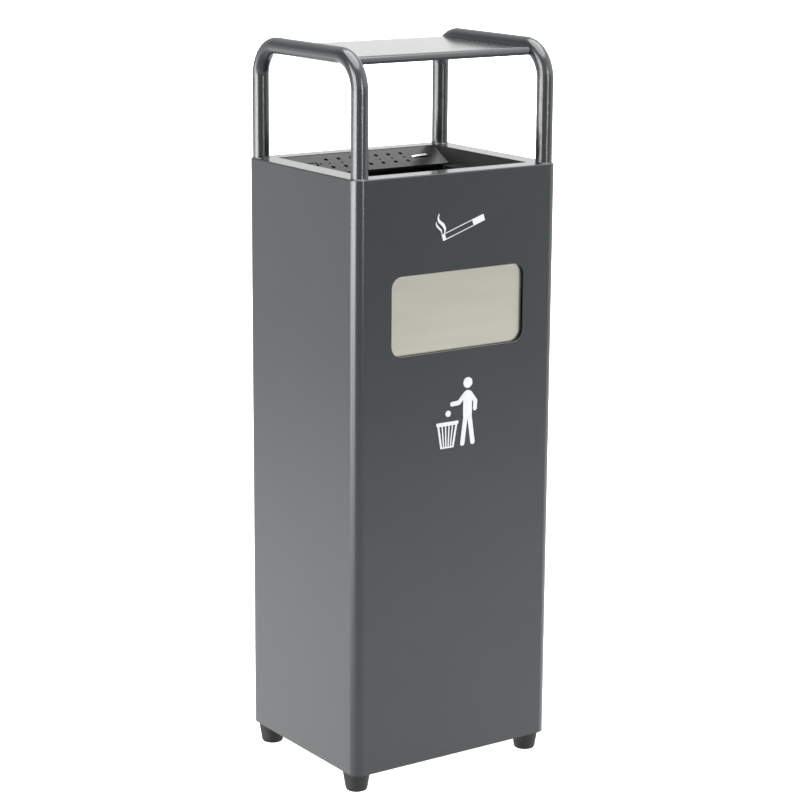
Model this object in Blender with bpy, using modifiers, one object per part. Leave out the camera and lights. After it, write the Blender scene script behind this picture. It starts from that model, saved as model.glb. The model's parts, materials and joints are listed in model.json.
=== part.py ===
"""A free-standing ashtray bin: a tall sheet-metal body on four feet, with a litter flap in its
front, an ash pan and stubbing plate in its top, a small roof carried by two tube loops, and an
inner liner that comes out through a door in the back. Metres, +Z up, the front faces -Y, and
the origin is on the floor under the middle of the body."""

import math

import bmesh
import bpy
from mathutils import Vector

# Driving dimensions
BODY_WIDTH = 0.300
BODY_DEPTH = 0.250
BODY_HEIGHT = 0.7475
CORNER_RADIUS = 0.0135
FOOT_HEIGHT = 0.0255
SHEET = 0.0015
GAP = 0.0003
SCREW_HOLE = 0.0023

# Levels, all measured from the floor
RIM = FOOT_HEIGHT + BODY_HEIGHT
LOOP_AXIS = RIM + 0.1422
FLAP_AXIS = RIM - 0.110
LINER_TOP = RIM - 0.230
LOCK_LEVEL = RIM - 0.390

# Half sizes and faces of the body
HALF_WIDTH = BODY_WIDTH / 2
HALF_DEPTH = BODY_DEPTH / 2
INNER_X = HALF_WIDTH - SHEET
INNER_Y = HALF_DEPTH - SHEET
INNER_RADIUS = CORNER_RADIUS - SHEET

# Rim and the tube loops
RIM_OPENING_X = 0.120
RIM_OPENING_Y = 0.100
TUBE_RADIUS = 0.0105
TUBE_WALL = 0.0015
TUBE_X = HALF_WIDTH - 0.0130
TUBE_Y = HALF_DEPTH - 0.0132
LOOP_BEND = 0.040
TUBE_HOLE = TUBE_RADIUS + GAP
TUBE_END = RIM - 0.120
SOCKET_LEVEL = RIM - 0.085
SOCKET_HALF_HEIGHT = 0.015
SOCKET_INNER_X = 0.1245
SOCKET_INNER_Y = 0.0995

# Canopy roof
ROOF_TOP = RIM + 0.1415
ROOF_DEPTH = 0.190
ROOF_FLANGE = 0.0095
ROOF_ROLL = 0.0068
ROOF_HALF_X = TUBE_X - TUBE_RADIUS - GAP
ROOF_SCREW_Y = 0.055
ROOF_SCREW_LEVEL = ROOF_TOP - 0.0049

# Litter opening and its flap
OPENING_WIDTH = 0.198
OPENING_HEIGHT = 0.099
OPENING_CENTRE = RIM - 0.170
OPENING_RADIUS = 0.0145
FLAP_THICKNESS = 0.0012
FLAP_HALF_X = 0.106
FLAP_BOTTOM = RIM - 0.227
FLAP_LIP = 0.012
FLAP_ROD_RADIUS = 0.002
FLAP_EYE_RADIUS = 0.0032
FLAP_Y = -INNER_Y + 0.0004 + FLAP_EYE_RADIUS
BRACKET_X = 0.109

# Ash pan and stubbing plate
PAN_SHEET = 0.0012
PAN_TOP = RIM - 0.0006
PAN_LEDGE = RIM - 0.018
PAN_FLOOR = RIM - 0.078
PAN_TOP_X = RIM_OPENING_X - 0.0007
PAN_TOP_Y = RIM_OPENING_Y - 0.0007
PAN_LEAN = 0.0047
BOX_HALF_X = 0.093
BOX_FRONT = -0.074
BOX_REAR = 0.086
NOTCH_X = (0.091, 0.113)
NOTCH_Y = (0.0415, 0.058)
PLATE_SLOPE = math.radians(23.0)
PLATE_LENGTH = 0.0463
PLATE_REAR_Y = 0.099
PLATE_REAR_Z = RIM - 0.0002
PLATE_REAR_HALF = 0.1176
PLATE_FRONT_HALF = 0.1126
HOLE_PITCH_X = 0.019
HOLE_PITCH_Y = 0.0095
HOLE_COLUMNS = 7
HOLE_ROWS = 3
FIRST_ROW = 0.0137
LARGE_HOLE = 0.0027
SMALL_HOLE = 0.0016
LIP_HALF_X = 0.088
LIP_DROP = 0.004
TAB_X = (0.100, 0.110)
TAB_DROP = 0.007
TONGUE_ROOTS = (-0.098, 0.070)
TONGUE_LENGTH = 0.024
TONGUE_WIDTH = 0.005
TONGUE_SLOT = 0.002
RAIL_INNER_X = 0.098
RAIL_FRONT = -0.080
RAIL_REAR = 0.036
RAIL_LEG = 0.030

# Rear door, its frame and its lock
DOOR_OPENING_X = 0.115
DOOR_LOW = RIM - 0.720
DOOR_HIGH = RIM - 0.060
DOOR_CLEARANCE = 0.0015
DOOR_FOLD = 0.010
DOOR_PIVOT_X = 0.107
DOOR_PIVOT_Y = HALF_DEPTH - 0.006
FRAME_CLEARANCE = 0.0017
FRAME_FRONT = HALF_DEPTH - 0.012
STOP_WIDTH = 0.0107
FRAME_STEP = 0.0003
LOCK_X = -0.096
LOCK_HOLE = 0.0083

# Liner and its bail handle
LINER_HALF_X = 0.102
LINER_HALF_Y = 0.088
LINER_WALL = 0.001
LINER_HEM = 0.003
EAR_LEVEL = RIM - 0.250
HANDLE_RADIUS = 0.0025
HANDLE_X = 0.109
HANDLE_REACH = 0.095

# Base plate and feet
BASE_FOLD = 0.012
DRAIN_RADIUS = 0.006
FOOT_X = HALF_WIDTH - 0.0178
FOOT_Y = HALF_DEPTH - 0.0240
FOOT_TOP_RADIUS = 0.0175
FOOT_TOE_RADIUS = 0.0140
FOOT_TREAD_RADIUS = 0.0124
FOOT_RECESS = 0.0070
FOOT_BORE = 0.0034

SIDES = (("left", -1), ("right", 1))
ENDS = (("front", -1), ("rear", 1))
UP = Vector((0, 0, 1))

parts = None
cutters = None
finishes = {}


# ---------------------------------------------------------------- scene and materials


def clear_scene():
    for thing in list(bpy.data.objects):
        bpy.data.objects.remove(thing, do_unlink=True)


def make_collections():
    global parts, cutters
    parts = bpy.data.collections.new("ashtray_bin")
    cutters = bpy.data.collections.new("cutters")
    for collection in (parts, cutters):
        bpy.context.scene.collection.children.link(collection)


def finish(name, colour, roughness, metallic):
    material = bpy.data.materials.new(name)
    material.use_nodes = True
    shader = material.node_tree.nodes["Principled BSDF"]
    shader.inputs["Base Color"].default_value = (*colour, 1.0)
    shader.inputs["Roughness"].default_value = roughness
    shader.inputs["Metallic"].default_value = metallic
    finishes[name] = material


def make_finishes():
    finish("anthracite", (0.075, 0.080, 0.085), 0.38, 0.35)
    finish("black_powder", (0.020, 0.020, 0.021), 0.50, 0.10)
    finish("stainless", (0.62, 0.60, 0.55), 0.32, 1.0)
    finish("galvanised", (0.55, 0.57, 0.58), 0.42, 1.0)
    finish("zinc_plated", (0.60, 0.60, 0.58), 0.30, 1.0)
    finish("black_plastic", (0.022, 0.022, 0.024), 0.55, 0.0)
    finish("white_nylon", (0.72, 0.71, 0.67), 0.50, 0.0)
    finish("black_rubber", (0.018, 0.018, 0.018), 0.75, 0.0)


# ---------------------------------------------------------------- modelling helpers


def link(thing, collection):
    collection.objects.link(thing)
    return thing


def as_part(thing, finish_name, smooth_angle=35):
    """Puts an object with the parts, gives it its finish and shades its rounds smooth."""
    link(thing, parts)
    thing.data.materials.append(finishes[finish_name])
    if thing.type == "MESH":
        thing.data.shade_smooth()
        thing.data.set_sharp_from_angle(angle=math.radians(smooth_angle))
    return thing


def as_cutter(thing):
    link(thing, cutters)
    thing.hide_render = True
    thing.display_type = "WIRE"
    return thing


def boolean(target, tool, operation="DIFFERENCE"):
    modifier = target.modifiers.new(tool.name, "BOOLEAN")
    modifier.operation = operation
    modifier.solver = "EXACT"
    modifier.object = as_cutter(tool)
    return target


def object_of(name, bm):
    mesh = bpy.data.meshes.new(name)
    bm.to_mesh(mesh)
    bm.free()
    return bpy.data.objects.new(name, mesh)


def edges_along(bm, axis):
    """The edges of a box that run along one axis (0, 1 or 2)."""
    found = []
    for edge in bm.edges:
        run = (edge.verts[1].co - edge.verts[0].co).normalized()
        if abs(run[axis]) > 0.99:
            found.append(edge)
    return found


def block(name, low, high, round_axis=None, radius=0.0, segments=3):
    """A box between two corners. The four edges along round_axis are rounded."""
    bm = bmesh.new()
    bmesh.ops.create_cube(bm, size=1.0)
    for vert in bm.verts:
        for axis in range(3):
            middle = (low[axis] + high[axis]) / 2
            vert.co[axis] = middle + vert.co[axis] * (high[axis] - low[axis])
    if round_axis is not None:
        edges = edges_along(bm, round_axis)
        bmesh.ops.bevel(bm, geom=edges, offset=radius, segments=segments, profile=0.5, affect="EDGES")
    return object_of(name, bm)


def rods(name, ends, radius, sides=12):
    """Plain cylinders, one for each pair of end points, held in one object."""
    bm = bmesh.new()
    for start, stop in ends:
        run = Vector(stop) - Vector(start)
        turn = UP.rotation_difference(run).to_matrix().to_4x4()
        turn.translation = (Vector(start) + Vector(stop)) / 2
        bmesh.ops.create_cone(bm, cap_ends=True, segments=sides, radius1=radius, radius2=radius,
                              depth=run.length, matrix=turn)
    return object_of(name, bm)


def rod(name, start, stop, radius, sides=12):
    return rods(name, [(start, stop)], radius, sides)


def turned(name, profile, origin, direction, steps, closed=False):
    """A profile of (radius, height) points turned about the direction through origin."""
    bm = bmesh.new()
    verts = [bm.verts.new((radius, 0, height)) for radius, height in profile]
    for first, second in zip(verts, verts[1:]):
        bm.edges.new((first, second))
    if closed:
        bm.edges.new((verts[-1], verts[0]))
    thing = object_of(name, bm)
    screw = thing.modifiers.new("turn", "SCREW")
    screw.steps = steps
    screw.render_steps = steps
    screw.use_merge_vertices = True
    screw.merge_threshold = 0.00001
    thing.location = origin
    thing.rotation_euler = UP.rotation_difference(Vector(direction)).to_euler()
    return thing


def screw(name, origin, direction, head_radius, head_height, shank_radius, shank_length):
    """A button-head screw. Its head's underside is at origin and its head looks along direction."""
    tip = 0.3 * shank_radius
    profile = [(0, head_height), (0.55 * head_radius, head_height), (head_radius, 0.35 * head_height),
               (head_radius, 0), (shank_radius, 0), (shank_radius, -shank_length + tip),
               (shank_radius - tip, -shank_length), (0, -shank_length)]
    return as_part(turned(name, profile, origin, direction, steps=12), "zinc_plated")


def arc(centre, radius, start, stop, count):
    """Points of a plane arc, in degrees from the first axis towards the second."""
    points = []
    for step in range(count + 1):
        angle = math.radians(start + (stop - start) * step / count)
        points.append((centre[0] + radius * math.cos(angle), centre[1] + radius * math.sin(angle)))
    return points


def swept(name, points, radius, bevel_resolution, capped):
    """A round bar or tube skin along points, as a mesh."""
    curve = bpy.data.curves.new(name, "CURVE")
    curve.dimensions = "3D"
    curve.bevel_depth = radius
    curve.bevel_resolution = bevel_resolution
    curve.use_fill_caps = capped
    spline = curve.splines.new("POLY")
    spline.points.add(len(points) - 1)
    for slot, point in zip(spline.points, points):
        slot.co = (*point, 1.0)
    guide = link(bpy.data.objects.new(name + "_guide", curve), cutters)
    bpy.context.view_layer.update()
    graph = bpy.context.evaluated_depsgraph_get()
    mesh = bpy.data.meshes.new_from_object(guide.evaluated_get(graph))
    bpy.data.objects.remove(guide, do_unlink=True)
    bm = bmesh.new()
    bm.from_mesh(mesh)
    bmesh.ops.remove_doubles(bm, verts=bm.verts, dist=0.00001)
    bmesh.ops.recalc_face_normals(bm, faces=bm.faces)
    return object_of(name, bm)


def solidify(thing, thickness):
    """Thickens an open sheet inwards from its outer face."""
    modifier = thing.modifiers.new("sheet", "SOLIDIFY")
    modifier.thickness = thickness
    modifier.offset = -1.0
    modifier.use_even_offset = True


def open_vessel(name, rings, corner_radius=0.0):
    """The outer skin of an open-topped vessel. Each ring is (half width, front y, rear y, z),
    and the first ring is the floor."""
    half, front, rear, level = rings[0]
    bm = bmesh.new()
    bmesh.ops.create_grid(bm, x_segments=1, y_segments=1, size=1.0)
    for vert in bm.verts:
        vert.co = (half * vert.co.x, rear if vert.co.y > 0 else front, level)
    if corner_radius:
        bmesh.ops.bevel(bm, geom=bm.verts[:], offset=corner_radius, segments=3, profile=0.5,
                        affect="VERTICES")
    edges = [edge for edge in bm.edges if edge.is_boundary]
    for wider, new_front, new_rear, new_level in rings[1:]:
        made = bmesh.ops.extrude_edge_only(bm, edges=edges)["geom"]
        verts = [item for item in made if isinstance(item, bmesh.types.BMVert)]
        for vert in verts:
            share = (vert.co.y - front) / (rear - front)
            vert.co.x *= wider / half
            vert.co.y = new_front + share * (new_rear - new_front)
            vert.co.z = new_level
        edges = [edge for edge in bm.edges if edge.is_boundary]
        half, front, rear = wider, new_front, new_rear
    bmesh.ops.recalc_face_normals(bm, faces=bm.faces)
    floor = min(bm.faces, key=lambda face: face.calc_center_median().z)
    if floor.normal.z > 0:
        bmesh.ops.reverse_faces(bm, faces=bm.faces)
    return object_of(name, bm)


def pivot_empty(name, location, children):
    """An empty on a joint's axis that carries the pieces which move with it."""
    empty = link(bpy.data.objects.new(name, None), parts)
    empty.empty_display_size = 0.02
    empty.location = location
    bpy.context.view_layer.update()
    for child in children:
        child.parent = empty
        child.matrix_parent_inverse = empty.matrix_world.inverted()
    return empty


# ---------------------------------------------------------------- body


def body_shell():
    """The folded wrap: front, sides and back in one sheet, with the litter and door openings."""
    shell = block("body_shell", (-HALF_WIDTH, -HALF_DEPTH, FOOT_HEIGHT),
                  (HALF_WIDTH, HALF_DEPTH, RIM), 2, CORNER_RADIUS, 6)
    inside = block("shell_inside", (-INNER_X, -INNER_Y, 0), (INNER_X, INNER_Y, RIM + 0.05),
                   2, INNER_RADIUS, 6)
    boolean(shell, inside)
    half = OPENING_WIDTH / 2
    low = OPENING_CENTRE - OPENING_HEIGHT / 2
    opening = block("litter_opening", (-half, -HALF_DEPTH - 0.01, low),
                    (half, -HALF_DEPTH + 0.01, low + OPENING_HEIGHT), 1, OPENING_RADIUS, 6)
    boolean(shell, opening)
    doorway = block("doorway", (-DOOR_OPENING_X, HALF_DEPTH - 0.01, DOOR_LOW),
                    (DOOR_OPENING_X, HALF_DEPTH + 0.01, DOOR_HIGH))
    boolean(shell, doorway)
    as_part(shell, "anthracite")


def rim_frame():
    """The flat flange round the ashtray opening, pierced for the four tube legs."""
    x, y = INNER_X - GAP, INNER_Y - GAP
    rim = block("rim_frame", (-x, -y, RIM - SHEET), (x, y, RIM), 2, INNER_RADIUS - GAP, 6)
    opening = block("rim_opening", (-RIM_OPENING_X, -RIM_OPENING_Y, RIM - 0.01),
                    (RIM_OPENING_X, RIM_OPENING_Y, RIM + 0.01))
    boolean(rim, opening)
    ends = []
    for _, side in SIDES:
        for _, end in ENDS:
            x, y = side * TUBE_X, end * TUBE_Y
            ends.append(((x, y, RIM - 0.01), (x, y, RIM + 0.01)))
    boolean(rim, rods("leg_holes", ends, TUBE_HOLE, 24))
    as_part(rim, "anthracite")


def base_plate():
    """A shallow tray that closes the bottom, with a drain hole and holes for the foot screws."""
    x, y = INNER_X - GAP, INNER_Y - GAP
    low = FOOT_HEIGHT + GAP
    plate = block("base_plate", (-x, -y, low), (x, y, low + BASE_FOLD), 2, INNER_RADIUS - GAP, 4)
    boolean(plate, block("base_hollow", (-x + SHEET, -y + SHEET, low + SHEET),
                         (x - SHEET, y - SHEET, low + 0.03), 2, INNER_RADIUS - GAP - SHEET, 4))
    ends = []
    for _, side in SIDES:
        for _, end in ENDS:
            x, y = side * FOOT_X, end * FOOT_Y
            ends.append(((x, y, low - 0.01), (x, y, low + 0.005)))
    boolean(plate, rods("foot_screw_holes", ends, 0.0033, 12))
    boolean(plate, rod("drain_hole", (0, 0, low - 0.01), (0, 0, low + 0.005), DRAIN_RADIUS, 16))
    as_part(plate, "anthracite")


def foot(name, side, end):
    """A tapered cup foot with a recess for its screw's head."""
    top = FOOT_HEIGHT - GAP
    profile = [(FOOT_TOP_RADIUS, top), (FOOT_TOP_RADIUS, top - 0.0010), (FOOT_TOE_RADIUS, 0.0028),
               (FOOT_TREAD_RADIUS, 0.0), (FOOT_RECESS + 0.0005, 0.0), (FOOT_RECESS, FOOT_RECESS),
               (FOOT_BORE, FOOT_RECESS), (FOOT_BORE, top)]
    origin = (side * FOOT_X, end * FOOT_Y, 0)
    cup = turned(name, profile, origin, UP, steps=18, closed=True)
    as_part(cup, "black_plastic")
    screw(name.replace("foot", "foot_screw"), (origin[0], origin[1], FOOT_RECESS - GAP), -UP,
          0.0055, 0.0035, 0.0030, FOOT_HEIGHT)


def feet():
    for side_name, side in SIDES:
        for end_name, end in ENDS:
            foot(f"foot_{end_name}_{side_name}", side, end)


# ---------------------------------------------------------------- tube loops and roof


def loop_path(side):
    """Centre line of one loop: up the front leg, back along the top, down the rear leg."""
    level = LOOP_AXIS - LOOP_BEND
    bend_y = TUBE_Y - LOOP_BEND
    plane = [(-TUBE_Y, TUBE_END)]
    plane += arc((-bend_y, level), LOOP_BEND, 180, 90, 7)
    plane += arc((bend_y, level), LOOP_BEND, 90, 0, 7)
    plane += [(TUBE_Y, TUBE_END)]
    return [(side * TUBE_X, y, z) for y, z in plane]


def tube_loop(side_name, side):
    loop = swept(f"tube_loop_{side_name}", loop_path(side), TUBE_RADIUS, 6, capped=False)
    solidify(loop, TUBE_WALL)
    holes = []
    for _, end in ENDS:
        start = (side * (TUBE_X - 0.025), end * ROOF_SCREW_Y, ROOF_SCREW_LEVEL)
        holes.append((start, (side * TUBE_X, end * ROOF_SCREW_Y, ROOF_SCREW_LEVEL)))
        start = (side * (TUBE_X - 0.025), end * TUBE_Y, SOCKET_LEVEL)
        holes.append((start, (side * TUBE_X, end * TUBE_Y, SOCKET_LEVEL)))
    boolean(loop, rods(f"loop_holes_{side_name}", holes, SCREW_HOLE, 10))
    return as_part(loop, "anthracite", 50)


def tube_socket(side_name, side, end_name, end):
    """A corner block that holds one tube leg under the rim, and the screw that fixes the leg."""
    name = f"{end_name}_{side_name}"
    inner_x, outer_x = SOCKET_INNER_X * side, (INNER_X - GAP) * side
    inner_y, outer_y = SOCKET_INNER_Y * end, (INNER_Y - GAP) * end
    low = (min(inner_x, outer_x), min(inner_y, outer_y), SOCKET_LEVEL - SOCKET_HALF_HEIGHT)
    high = (max(inner_x, outer_x), max(inner_y, outer_y), SOCKET_LEVEL + SOCKET_HALF_HEIGHT)
    socket = block(f"tube_socket_{name}", low, high, 2, 0.0030, 2)
    x, y = side * TUBE_X, end * TUBE_Y
    boolean(socket, rod(f"socket_bore_{name}", (x, y, low[2] - 0.01), (x, y, high[2] + 0.01),
                        TUBE_HOLE, 24))
    boolean(socket, rod(f"socket_screw_hole_{name}", (inner_x - 0.005 * side, y, SOCKET_LEVEL),
                        (x, y, SOCKET_LEVEL), SCREW_HOLE, 10))
    as_part(socket, "black_powder")
    screw(f"socket_screw_{name}", (inner_x - GAP * side, y, SOCKET_LEVEL), (-side, 0, 0),
          0.0035, 0.0022, 0.0020, 0.0075)


def trim_socket_corners():
    """Rounds each socket's outer corner to the shell's inner radius."""
    x, y = INNER_X - GAP, INNER_Y - GAP
    for side_name, side in SIDES:
        for end_name, end in ENDS:
            name = f"{end_name}_{side_name}"
            keep = block(f"socket_limit_{name}", (-x, -y, SOCKET_LEVEL - 0.05),
                         (x, y, SOCKET_LEVEL + 0.05), 2, INNER_RADIUS - GAP, 6)
            boolean(bpy.data.objects[f"tube_socket_{name}"], keep, "INTERSECT")


def canopy_roof():
    """The roof tray: its front and rear edges are rolled, and it hangs between the loops."""
    x, y = ROOF_HALF_X, ROOF_DEPTH / 2
    roof = block("canopy_roof", (-x, -y, ROOF_TOP - ROOF_FLANGE), (x, y, ROOF_TOP))
    roll_edges(roof, ROOF_TOP, ROOF_ROLL)
    hollow = block("roof_hollow", (-x + SHEET, -y + SHEET, ROOF_TOP - 0.03),
                   (x - SHEET, y - SHEET, ROOF_TOP - SHEET))
    roll_edges(hollow, ROOF_TOP - SHEET, ROOF_ROLL - SHEET)
    boolean(roof, hollow)
    holes = []
    for _, end in ENDS:
        level = (end * ROOF_SCREW_Y, ROOF_SCREW_LEVEL)
        holes += [((-x - 0.01, *level), (-x + 0.01, *level)), ((x - 0.01, *level), (x + 0.01, *level))]
    boolean(roof, rods("roof_screw_holes", holes, SCREW_HOLE, 10))
    as_part(roof, "anthracite")
    for side_name, side in SIDES:
        for end_name, end in ENDS:
            origin = (side * (x - SHEET - GAP), end * ROOF_SCREW_Y, ROOF_SCREW_LEVEL)
            screw(f"roof_screw_{end_name}_{side_name}", origin, (-side, 0, 0),
                  0.0030, 0.0022, 0.0020, 0.0075)


def roll_edges(thing, top, radius):
    """Rolls the top edges at the front and the rear over into the flanges."""
    bm = bmesh.new()
    bm.from_mesh(thing.data)
    edges = []
    for edge in bm.edges:
        first, second = edge.verts
        level = min(first.co.z, second.co.z) > top - 0.0001
        if level and abs(first.co.y - second.co.y) < 0.0001:
            edges.append(edge)
    bmesh.ops.bevel(bm, geom=edges, offset=radius, segments=5, profile=0.5, affect="EDGES")
    bm.to_mesh(thing.data)
    bm.free()


# ---------------------------------------------------------------- litter flap


def flap():
    """The stainless flap: a plate with a rolled eye at its top and a folded lip at its foot."""
    half = FLAP_THICKNESS / 2
    x = FLAP_HALF_X
    plate = block("flap_plate", (-x, FLAP_Y - half, FLAP_BOTTOM), (x, FLAP_Y + half, FLAP_AXIS))
    boolean(plate, block("flap_lip", (-x, FLAP_Y - half, FLAP_BOTTOM),
                         (x, FLAP_Y - half + FLAP_LIP, FLAP_BOTTOM + FLAP_THICKNESS)), "UNION")
    axis = [(-x, FLAP_Y, FLAP_AXIS), (x, FLAP_Y, FLAP_AXIS)]
    boolean(plate, rod("flap_eye", *axis, FLAP_EYE_RADIUS, 16), "UNION")
    longer = [(-x - 0.01, FLAP_Y, FLAP_AXIS), (x + 0.01, FLAP_Y, FLAP_AXIS)]
    boolean(plate, rod("flap_bore", *longer, FLAP_ROD_RADIUS + 0.0002, 16))
    as_part(plate, "stainless")
    pivot_empty("flap_pivot", (0, FLAP_Y, FLAP_AXIS), [plate])


def flap_rod():
    reach = BRACKET_X + 0.007
    bar = rod("flap_rod", (-reach, FLAP_Y, FLAP_AXIS), (reach, FLAP_Y, FLAP_AXIS), FLAP_ROD_RADIUS, 16)
    as_part(bar, "zinc_plated")


def flap_bracket(side_name, side):
    """An angle bracket on the inside of the front that carries one end of the flap rod."""
    face = -INNER_Y + GAP
    low, shelf, high = FLAP_AXIS - 0.006, FLAP_AXIS + 0.0045, FLAP_AXIS + 0.018
    ear_x = sorted((BRACKET_X * side, (BRACKET_X + SHEET) * side))
    foot_x = sorted((BRACKET_X * side, (BRACKET_X + 0.015) * side))
    bracket = block(f"flap_bracket_{side_name}", (ear_x[0], face, low), (ear_x[1], face + 0.011, high))
    boolean(bracket, block(f"bracket_foot_{side_name}", (foot_x[0], face, shelf),
                           (foot_x[1], face + SHEET, high)), "UNION")
    boolean(bracket, rod(f"bracket_hole_{side_name}", ((BRACKET_X - 0.002) * side, FLAP_Y, FLAP_AXIS),
                         ((BRACKET_X + 0.004) * side, FLAP_Y, FLAP_AXIS), FLAP_ROD_RADIUS + GAP, 12))
    as_part(bracket, "zinc_plated")


def rod_cap(side_name, side):
    """A push-on cap that keeps the rod in its brackets."""
    bore = FLAP_ROD_RADIUS + 0.0002
    profile = [(0.0032, 0.0040), (0.0032, 0.0), (bore, 0.0), (bore, 0.0040)]
    start = (side * (BRACKET_X + SHEET + GAP), FLAP_Y, FLAP_AXIS)
    cap = turned(f"rod_cap_{side_name}", profile, start, (side, 0, 0), steps=14, closed=True)
    as_part(cap, "black_plastic")


def flap_buffer(side_name, side):
    """A rubber stud that the closed flap rests against."""
    face = -INNER_Y + GAP
    profile = [(0, 0.0023), (0.0020, 0.0023), (0.0025, 0.0016), (0.0025, 0), (0, 0)]
    centre = (side * 0.1028, face, FLAP_BOTTOM + 0.0048)
    as_part(turned(f"flap_buffer_{side_name}", profile, centre, (0, 1, 0), steps=12), "black_rubber")


# ---------------------------------------------------------------- ashtray


def ash_pan():
    """The lift-out pan: leaning walls, a ledge to hang by and a deep box for butts and ash."""
    low_x, low_y = PAN_TOP_X - PAN_LEAN, PAN_TOP_Y - PAN_LEAN
    under_ledge = PAN_LEDGE - PAN_SHEET
    rings = [(BOX_HALF_X, BOX_FRONT, BOX_REAR, PAN_FLOOR), (BOX_HALF_X, BOX_FRONT, BOX_REAR, under_ledge),
             (low_x, -low_y, low_y, under_ledge), (PAN_TOP_X, -PAN_TOP_Y, PAN_TOP_Y, PAN_TOP)]
    pan = open_vessel("ash_pan", rings)
    solidify(pan, PAN_SHEET)
    for side_name, side in SIDES:
        edge = sorted(x * side for x in NOTCH_X)
        notch = block(f"corner_notch_{side_name}", (edge[0], NOTCH_Y[0], PAN_LEDGE - 0.010),
                      (edge[1], NOTCH_Y[1], PAN_LEDGE + 0.0003))
        boolean(pan, notch)
    boolean(pan, plate_slab("plate_room", 0.0004, above=0.02))
    as_part(pan, "black_powder")


def plate_slab(name, margin, above=0.0):
    """The stubbing plate's slab in place: it slopes down to the front and narrows between the
    leaning walls. margin grows it all round, and above grows it upwards."""
    slab = block(name, (-1, -PLATE_LENGTH - margin, -PAN_SHEET - margin), (1, margin, above))
    for vert in slab.data.vertices:
        half = PLATE_REAR_HALF if vert.co.y > -PLATE_LENGTH / 2 else PLATE_FRONT_HALF
        vert.co.x *= half + margin
    seat_on_slope(slab)
    return slab


def seat_on_slope(thing):
    thing.location = (0, PLATE_REAR_Y, PLATE_REAR_Z)
    thing.rotation_euler = (PLATE_SLOPE, 0, 0)


def stubbing_plate():
    """The sloping plate that cigarettes are put out on, with its holes and lanced tongues."""
    plate = plate_slab("stubbing_plate", 0.0)
    lip_rear = -PLATE_LENGTH + PAN_SHEET
    additions = [block("plate_lip", (-LIP_HALF_X, -PLATE_LENGTH, -LIP_DROP), (LIP_HALF_X, lip_rear, 0))]
    for side_name, side in SIDES:
        edge = sorted(x * side for x in TAB_X)
        additions.append(block(f"plate_tab_{side_name}", (edge[0], -PLATE_LENGTH, -TAB_DROP),
                               (edge[1], lip_rear, 0)))
    for addition in additions:
        seat_on_slope(addition)
        boolean(plate, addition, "UNION")
    for cutter in plate_cutters():
        seat_on_slope(cutter)
        boolean(plate, cutter)
    as_part(plate, "black_powder")


def plate_cutters():
    """Cutters in the plate's own plane: the hole grid, and the slots round each tongue."""
    big, small = [], []
    for row in range(HOLE_ROWS):
        y = -FIRST_ROW - row * HOLE_PITCH_Y
        for column in range(HOLE_COLUMNS):
            x = (column - HOLE_COLUMNS // 2) * HOLE_PITCH_X
            holes = small if row == 1 else big
            holes.append(((x, y, -0.01), (x, y, 0.01)))
    slot_y = -FIRST_ROW - HOLE_PITCH_Y
    for root in TONGUE_ROOTS:
        x = root + TONGUE_LENGTH + 0.0036
        small.append(((x, slot_y, -0.01), (x, slot_y, 0.01)))
    made = [rods("large_holes", big, LARGE_HOLE, 10), rods("small_holes", small, SMALL_HOLE, 10)]
    outer = TONGUE_WIDTH / 2 + TONGUE_SLOT
    for number, root in enumerate(TONGUE_ROOTS):
        tip = root + TONGUE_LENGTH
        slot = block(f"tongue_slot_{number}", (root, slot_y - outer, -0.01), (tip, slot_y + outer, 0.01))
        tongue = block(f"tongue_{number}", (root - 0.001, slot_y - TONGUE_WIDTH / 2, -0.02),
                       (tip - TONGUE_SLOT, slot_y + TONGUE_WIDTH / 2, 0.02))
        boolean(slot, tongue)
        made.append(slot)
    return made


def pan_rail(side_name, side):
    """An angle rail on the inside of the body that the pan's ledge rests on."""
    top = PAN_LEDGE - PAN_SHEET - GAP
    wall = INNER_X - GAP
    shelf_x = sorted((wall * side, RAIL_INNER_X * side))
    rail = block(f"pan_rail_{side_name}", (shelf_x[0], RAIL_FRONT, top - SHEET), (shelf_x[1], RAIL_REAR, top))
    web_x = sorted((wall * side, (wall - SHEET) * side))
    web = block(f"rail_web_{side_name}", (web_x[0], RAIL_FRONT, top - RAIL_LEG), (web_x[1], RAIL_REAR, top))
    boolean(rail, web, "UNION")
    as_part(rail, "zinc_plated")


# ---------------------------------------------------------------- rear door


def door_frame():
    """The folded frame behind the doorway. Its stop strips leave the pivot side open."""
    x = DOOR_OPENING_X + FRAME_CLEARANCE
    low, high = DOOR_LOW - FRAME_CLEARANCE, DOOR_HIGH + FRAME_CLEARANCE
    stop_rear = FRAME_FRONT + SHEET
    frame = block("door_frame", (-x - SHEET, FRAME_FRONT, low - SHEET),
                  (x + SHEET, INNER_Y - GAP, high + SHEET))
    boolean(frame, block("frame_passage", (-x, stop_rear, low), (x, HALF_DEPTH, high)))
    window_x = x - FRAME_STEP
    boolean(frame, block("frame_window", (-x + STOP_WIDTH, FRAME_FRONT - 0.01, low + STOP_WIDTH),
                         (window_x, stop_rear + 0.001, high - STOP_WIDTH)))
    boolean(frame, block("pivot_relief", (DOOR_PIVOT_X - 0.007, FRAME_FRONT - 0.01, low + FRAME_STEP),
                         (window_x, stop_rear + 0.001, high - FRAME_STEP)))
    as_part(frame, "anthracite")


def door_ends():
    """The door's two ends: name, z of its edge, and the direction that points out of the door."""
    return (("lower", DOOR_LOW + DOOR_CLEARANCE, -1), ("upper", DOOR_HIGH - DOOR_CLEARANCE, 1))


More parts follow.
